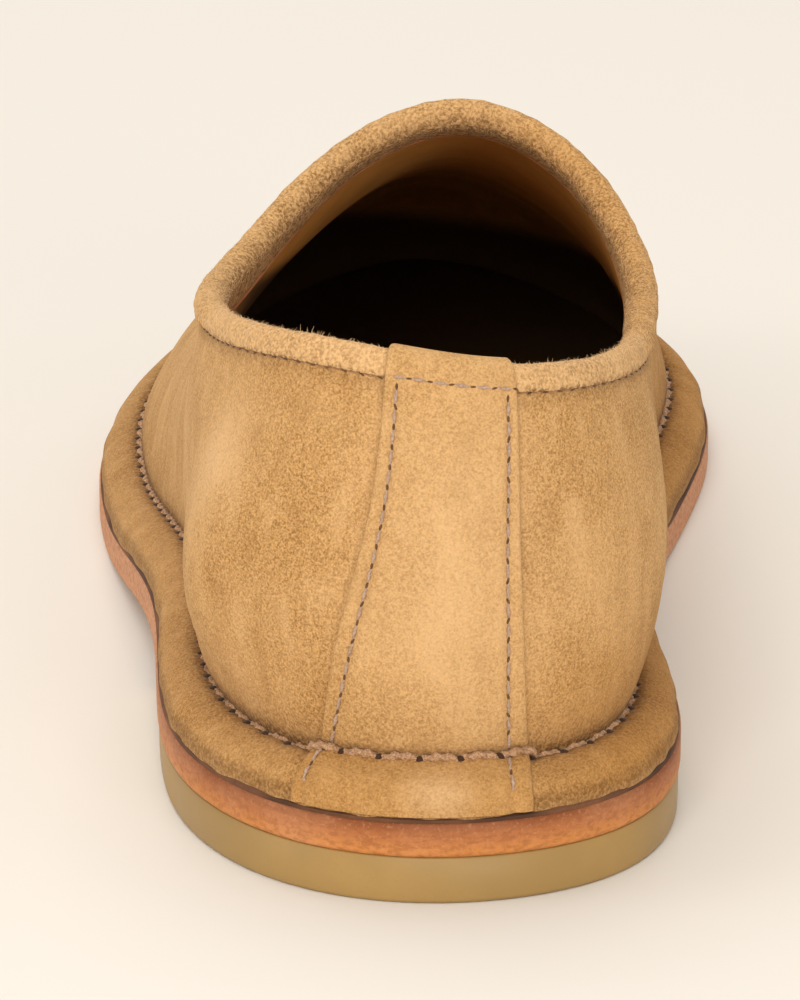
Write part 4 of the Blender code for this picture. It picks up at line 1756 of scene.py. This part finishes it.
@dataclass
class Upper:
    """Suede vamp and quarters in one shell with the stitched flange, and the lining inside it."""

    form: ShoeForm
    columns: int = 720
    flange_rows: int = 22
    flange_crowd: float = 1.5  # power that crowds the rows towards the lip
    crease_cut: int = 6  # last rows of the flange, laid closer together
    crease_rows: int = 9
    wall_rows: int = 44
    wall_crowd: float = 1.6  # power that crowds the rows towards the crease
    inner_rows: int = 36
    inner_end: float = 0.05  # climb where the inner face ends
    under_rows: int = 6
    lining_columns: int = 360
    lining_rows: int = 36
    lining_span: tuple[float, float] = (0.01, 0.985)  # its climbs
    lining_gap: float = 0.15
    lining_thick: float = 0.25
    wobble: Wobble = Wobble(11)
    edge_wave: float = 0.16
    wave_fade: float = 1.5
    settle: float = 0.28  # how far the flange's underside sinks onto the layer below
    binding_line: float = 1.9
    # Painted shade in the crease, at the flange's lip, under the binding and on the hidden inner face.
    seam_dark: Layers = ((0.85, 1.3), (0.18, 3.5), (0.20, 6.5))
    lip_dark: Layers = ((0.55, 0.45),)
    collar_dark: Layers = ((0.55, 0.5),)
    inside_dark: float = 0.5
    stitch_line: SeamLine = SeamLine(climb=-0.05, rise=0.35, sunk=0.62)
    hole_line: SeamLine = SeamLine(climb=-0.14, rise=0.20, sunk=0.25)
    seam_points: int = 2400

    def climbs(self) -> Array:
        """Rows of the outer face, close together at the lip and about the crease."""
        flange = -1 + np.linspace(0, 1, self.flange_rows) ** self.flange_crowd
        crease = np.linspace(flange[-self.crease_cut], 0, self.crease_rows)
        wall = np.linspace(0, 1, self.wall_rows) ** self.wall_crowd
        return np.concatenate([flange[: -self.crease_cut], crease[:-1], wall])

    def crevice(self, places: Array, climbs: Array) -> Array:
        """How much painted shade darkens the suede in its seams: the crease, the flange's lip and under the
        binding.

        Args:
            places: Places round the shoe.
            climbs: Climbs.

        Returns:
            0 on the open face, up to 1 in a seam.
        """
        form = self.form
        seam = bells(form.from_crease(climbs), self.seam_dark)
        lip = bells((climbs + 1) * form.flange_width, self.lip_dark)
        depth = (1 - climbs) / (1 - form.share_at(places, 1.0))
        return np.clip(seam + lip + bells(depth - self.binding_line, self.collar_dark), 0, 1)

    def build(self) -> None:
        """Builds the shell and the lining."""
        form = self.form
        around = form.around(self.columns)
        climbs = self.climbs()[:, None]
        out = upright(form.outward(around), 0.0)
        wave = self.wobble.at(around) * self.edge_wave
        fade = bell((climbs + 1) * form.flange_width, self.wave_fade)
        outer = form.skin(around, climbs) + out * (wave * fade)[..., None]
        inner_climbs = np.linspace(1, self.inner_end, self.inner_rows)[:, None]
        inner = form.skin(around, inner_climbs, -form.wall_thick)
        shares = np.linspace(1, 0, self.under_rows)[:, None]
        under = form.flange(around, shares)
        under[..., 2] -= form.flange_depth(shares) + self.settle
        under[0] -= out * form.wall_thick
        under[-1] += out * wave[:, None]
        loops = np.concatenate([outer, inner, under]).transpose(1, 0, 2)
        outside = slice(len(climbs))
        # Painted shade on the inner face, and in the seams outside.
        crevice = np.full(loops.shape[:2], self.inside_dark)
        crevice[:, outside] = self.crevice(around, climbs).T
        # Painted shade on the flange, low on the wall and on the inner side.
        tanned = np.zeros(loops.shape[:2])
        tanned[:, outside] = form.tanned(around, climbs).T
        # Painted highlights and wear.
        rubbed = form.rubbed(loops)
        mesh = loft(form, "suede_upper", loops, True, crevice=crevice, rubbed=rubbed, tanned=tanned)
        show(mesh, Look.SUEDE, Slot.SUEDE, "upper")
        self.build_lining()

    def build_lining(self) -> None:
        """Thin leather lining from under the binding down to the sock."""
        form = self.form
        around = form.around(self.lining_columns)
        climbs = np.linspace(*self.lining_span, self.lining_rows)[:, None]
        back = -form.wall_thick - self.lining_gap
        outside = form.skin(around, climbs, back)
        inside = form.skin(around, climbs, back - self.lining_thick)
        loops = np.concatenate([outside, inside[::-1]]).transpose(1, 0, 2)
        # Painted shadow darkens the lining under the vamp.
        mesh = loft(form, "tan_lining", loops, True, deep=form.deep(loops))
        show(mesh, Look.LINING, Slot.LINING)

    def flange_seam(self, strap: BackStrap, line: SeamLine) -> Seam:
        """One line of the seam in the crease, over the strap at the heel.

        Args:
            strap: The back strap that it runs over.
            line: Where it lies.

        Returns:
            The closed seam.
        """
        form = self.form
        around = form.around(self.seam_points)
        climbs = np.full_like(around, line.climb)
        cover = strap.cover(around)
        points = form.skin(around, climbs, line.rise + cover - line.sunk * (1 - cover / cover.max()))
        lengths = np.linspace(0, form.run[-1], len(around) + 1)
        return Seam(points, form.lift(around, climbs), True, lengths=lengths)


@dataclass
class CollarBinding:
    """Rolled suede binding over the upper's edge, with its seam, cut edge and loose fibres."""

    form: ShoeForm
    thick: float = 1.0
    outer: float = 1.8
    inner: float = 5.5
    tuck: float = 1.2
    tucked: float = 0.2
    columns: int = 480
    outer_rows: int = 12
    turn_rows: int = 11
    inner_rows: int = 9
    wobble: Wobble = Wobble(5, (9, 17, 31, 53, 83))
    wave: float = 0.07
    # Painted shade along the outer leg's lower edge.
    edge_dark: Layers = ((0.75, 0.5),)
    rim_radius: float = 0.45
    seam_below: float = 0.15
    seam_rise: float = 0.12
    seam_points: int = 1600
    arch_reach: float = 0.3  # length of the fibres over the arch, as a share of those at the back
    arch_shade: float = 0.52  # painted shade on the inner half of the arch's roll, broken into flecks
    back_end: float = 2.55  # sections from the heel where the back's pale hem meets the arch
    back_fade: float = 0.25
    # Painted highlight and wear that make the back's hem paler.
    back_worn: float = 0.30
    back_slim: float = 0.4  # height of the roll outside on the back's hem, as a share of the arch's
    inner_tan: float = 0.45  # painted shade on the arch's inner side
    inner_start: float = 1.6
    tufts: tuple[float, ...] = (1.05, 1.22, 10.15)
    tuft_reach: float = 1.2
    tuft_width: float = 0.05
    fibre_density: float = 2600000.0  # for each square metre
    fibre_lengths: tuple[float, float] = (0.25, 1.0)
    fibre_thick: float = 0.04
    fibre_lean: float = 1.1
    fibre_seed: int = 23

    def at_back(self, around: Array) -> Array:
        """1 on the back's hem, 0 on the arch."""
        return ease((self.back_end - np.abs(self.form.from_heel(around))) / self.back_fade)

    def body(self, depth: float, reach: float) -> float:
        """Thickness at a depth below the topline, tucked in at the leg's lower edge."""
        plump = self.tucked + (1 - self.tucked) * rounded((reach - depth) / self.tuck)
        return self.thick * plump

    def skins(self, around: Array) -> tuple[Array, Array]:
        """Outer face of the roll and its inner face against the upper.

        Args:
            around: Places round the collar.

        Returns:
            Both faces as (row, place, xyz), from the outer leg's edge to the inner leg's.
        """
        form = self.form
        gap = form.gap
        wave = 1 + self.wave * self.wobble.at(around)
        slim = 1 - (1 - self.back_slim) * self.at_back(around)
        face, back = [], []
        for depth in np.linspace(self.outer, 0, self.outer_rows):
            share = form.share_at(around, depth)
            face.append(form.skin(around, share, slim * (gap + self.body(depth, self.outer) * wave)))
            back.append(form.skin(around, share, slim * gap))
        top = self.body(0.0, self.outer) * wave
        for angle in np.linspace(0, np.pi, self.turn_rows + 2)[1:-1]:
            turn = np.full_like(around, angle)
            height = slim + (1 - slim) * ease(2 * angle / np.pi)
            face.append(form.collar_turn(around, form.wall_thick / 2 + height * (gap + top), turn))
            back.append(form.collar_turn(around, form.wall_thick / 2 + height * gap, turn))
        within = -form.wall_thick - gap
        for depth in np.linspace(0, self.inner, self.inner_rows):
            share = form.share_at(around, depth)
            face.append(form.skin(around, share, within - self.body(depth, self.inner) * wave))
            back.append(form.skin(around, share, within))
        return np.array(face), np.array(back)

    def build(self, trees: Trees) -> None:
        """Builds the roll, the lining's cut edge below it and the fibres on it.

        Args:
            trees: The Geometry Nodes trees.
        """
        form = self.form
        around = form.around(self.columns)
        face, back = self.skins(around)
        loops = np.concatenate([face, back[::-1]]).transpose(1, 0, 2)
        back_hem = self.at_back(around)[:, None]
        # Painted shade under the roll's edge and on the inner half of the arch.
        crevice = np.zeros(loops.shape[:2])
        depths = np.linspace(self.outer, 0, self.outer_rows)
        crevice[:, : self.outer_rows] = bells(self.outer - depths, self.edge_dark)
        half_turn = self.turn_rows // 2
        inner_half = slice(self.outer_rows + half_turn, len(face))
        inward = ease((1 + np.arange(len(face) - inner_half.start)) / half_turn)
        crevice[:, inner_half] = self.arch_shade * inward * (1 - back_hem)
        # Painted shade on the inner side.
        tanned = self.inner_tan * form.inner_side(around, self.inner_start)[:, None]
        # Painted highlight and wear on the back's hem.
        rubbed = self.back_worn * back_hem
        mesh = loft(form, "collar_roll", loops, True, crevice=crevice, rubbed=rubbed, tanned=tanned)
        show(mesh, Look.BINDING_SUEDE, Slot.SUEDE, "collar_binding")
        self.build_rim(trees, around)
        self.build_fibres(trees, around, face)

    def build_rim(self, trees: Trees, around: Array) -> None:
        """Orange cut edge that shows between the binding and the lining.

        Args:
            trees: The Geometry Nodes trees.
            around: Places round the collar.
        """
        form = self.form
        share = form.share_at(around, self.inner + self.rim_radius)
        line = form.skin(around, share, -form.wall_thick - form.gap - self.rim_radius)
        edges = [(here, (here + 1) % len(line)) for here in range(len(line))]
        source = mesh_of(form, "lining_rim_line", line, edges)
        mesh = trees.bead.run("lining_rim", source, Look.RIM, radius=self.rim_radius * MM)
        show(mesh, Look.RIM, Slot.LINING)

    def build_fibres(self, trees: Trees, around: Array, face: Array) -> None:
        """Loose fibres along the top of the roll, longer at the back and longest in a few tufts.

        Args:
            trees: The Geometry Nodes trees.
            around: Places round the collar.
            face: Outer face of the roll.
        """
        strip = face[self.outer_rows + 1 : self.outer_rows + self.turn_rows + 2]
        rows, count = strip.shape[:2]
        quads = loft_faces(rows, count, False)[: (rows - 1) * count]
        source = mesh_of(self.form, "collar_fibres_strip", strip, faces=quads[:, ::-1].tolist())
        reach = self.arch_reach + (1 - self.arch_reach) * self.at_back(around)
        for tuft in self.tufts:
            reach = reach + self.tuft_reach * bell(around - tuft, self.tuft_width)
        set_mark(source, "reach", np.tile(reach, rows))
        shortest, longest = self.fibre_lengths
        mesh = trees.fibre.run(
            "collar_fibres",
            source,
            Look.FIBRE,
            density=self.fibre_density,
            shortest=shortest * MM,
            longest=longest * MM,
            thickness=self.fibre_thick * MM,
            lean=self.fibre_lean,
            seed=self.fibre_seed,
        )
        show(mesh, Look.FIBRE, Slot.SUEDE)

    def seam(self) -> Seam:
        """The seam under the roll, on both sides of the strap."""
        form = self.form
        around = form.around(self.seam_points)
        share = form.share_at(around, self.outer + self.seam_below)
        return Seam(form.skin(around, share, self.seam_rise), form.lift(around, share), True)


@dataclass(frozen=True)
class Lamp:
    """One square soft light that points at the shoe, in metres and watts."""

    name: str
    place: Triple
    size: float
    power: float
    colour: Triple = (1.0, 0.96, 0.90)


LAMPS = (
    Lamp("key_light", (-0.25, -1.62, 1.10), 0.8, 15.0),
    Lamp("side_light", (-1.60, -0.35, 0.55), 0.8, 4.8),
    Lamp("fill_light", (0.60, -1.60, 0.40), 0.6, 6.2),
    Lamp("top_light", (-0.2, 0.9, 1.9), 1.6, 16.0, (1.0, 0.965, 0.91)),
)


@dataclass
class Studio:
    """Pale floor, soft light and the camera at the photograph's angle, in metres."""

    eye: Triple = (-0.01245, -1.0805, 0.348)
    aim: Triple = (-0.0032, -0.130, 0.0560)
    lens: float = 246.0
    clip_start: float = 0.05
    clip_end: float = 100.0
    floor_half: float = 12.0
    floor_colour: Triple = (0.85, 0.815, 0.765)
    sky_colour: Triple = (1.0, 0.955, 0.89)
    sky_strength: float = 0.58
    lamps: tuple[Lamp, ...] = LAMPS

    def build(self) -> None:
        """Builds floor, lights and camera."""
        self.build_floor()
        self.build_sky()
        for lamp in self.lamps:
            self.build_lamp(lamp)
        self.build_camera()

    def build_floor(self) -> None:
        """One wide plain floor."""
        half = self.floor_half
        corners = [(-half, -half, 0), (half, -half, 0), (half, half, 0), (-half, half, 0)]
        mesh = bpy.data.meshes.new("floor")
        mesh.from_pydata(corners, [], [(0, 1, 2, 3)])
        tree = ShaderTree("pale_floor")
        tree.constants(base_color=self.floor_colour, roughness=0.85, specular_ior_level=0.1)
        mesh.materials.append(tree.material)
        floor = bpy.data.objects.new("floor", mesh)
        bpy.context.scene.collection.objects.link(floor)

    def build_sky(self) -> None:
        """Even light from all round."""
        world = bpy.data.worlds.new("studio")
        world.use_nodes = True
        background = world.node_tree.nodes["Background"]
        background.inputs["Color"].default_value = (*self.sky_colour, 1.0)
        background.inputs["Strength"].default_value = self.sky_strength
        bpy.context.scene.world = world
        bpy.context.scene.view_settings.view_transform = "Standard"

    def build_lamp(self, lamp: Lamp) -> None:
        """Adds one of the lights."""
        light = bpy.data.lights.new(lamp.name, "AREA")
        light.size = lamp.size
        light.energy = lamp.power
        light.color = lamp.colour
        self.stand(lamp.name, light, lamp.place)

    def build_camera(self) -> None:
        """Camera where the photograph was taken from, turned to the one shoe."""
        camera = bpy.data.cameras.new("camera")
        camera.lens = self.lens
        camera.clip_start = self.clip_start
        camera.clip_end = self.clip_end
        bpy.context.scene.camera = self.stand("camera", camera, self.eye)

    def stand(self, name: str, data: bpy.types.ID, place: Triple) -> bpy.types.Object:
        """Stands a light or a camera at a place and turns it to the shoe.

        Args:
            name: Name of the object.
            data: The light or the camera.
            place: Where it stands.

        Returns:
            The object.
        """
        thing = bpy.data.objects.new(name, data)
        thing.location = place
        thing.rotation_euler = (Vector(self.aim) - Vector(place)).to_track_quat("-Z", "Y").to_euler()
        bpy.context.scene.collection.objects.link(thing)
        return thing


def sew(needle: Needlework, upper: Upper, strap: BackStrap, binding: CollarBinding) -> None:
    """Sews all seams.

    Args:
        needle: What sews them.
        upper: The upper with its flange seam.
        strap: The back strap with its side seams.
        binding: The binding with the seam under it.
    """
    crease = [upper.flange_seam(strap, upper.stitch_line)]
    needle.stitches(FLANGE_SEWING, "flange_stitches", crease, Look.FLANGE_THREAD)
    holes = [upper.flange_seam(strap, upper.hole_line)]
    needle.needle_holes(FLANGE_SEWING, "flange_needle_holes", holes, Look.HOLE)
    sides = strap.side_seams() + [strap.collar_seam()]
    needle.stitches(STRAP_SEWING, "strap_stitches", sides, Look.STRAP_THREAD)
    needle.needle_holes(STRAP_SEWING, "strap_needle_holes", sides, Look.FINE_HOLE)
    collar = [binding.seam()]
    needle.stitches(COLLAR_SEWING, "collar_stitches", collar, Look.COLLAR_THREAD)
    needle.needle_holes(COLLAR_SEWING, "collar_needle_holes", collar, Look.FINE_HOLE)


def main() -> None:
    """Builds the shoe from the floor up, then the studio."""
    logging.basicConfig(level=logging.INFO, format="%(name)s %(message)s")
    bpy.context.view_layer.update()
    form = ShoeForm()
    trees = Trees()
    Sole(form).build()
    upper = Upper(form)
    upper.build()
    binding = CollarBinding(form)
    binding.build(trees)
    strap = BackStrap(form)
    strap.build()
    sew(Needlework(form, trees), upper, strap, binding)
    Studio().build()


if __name__ == "__main__":
    main()
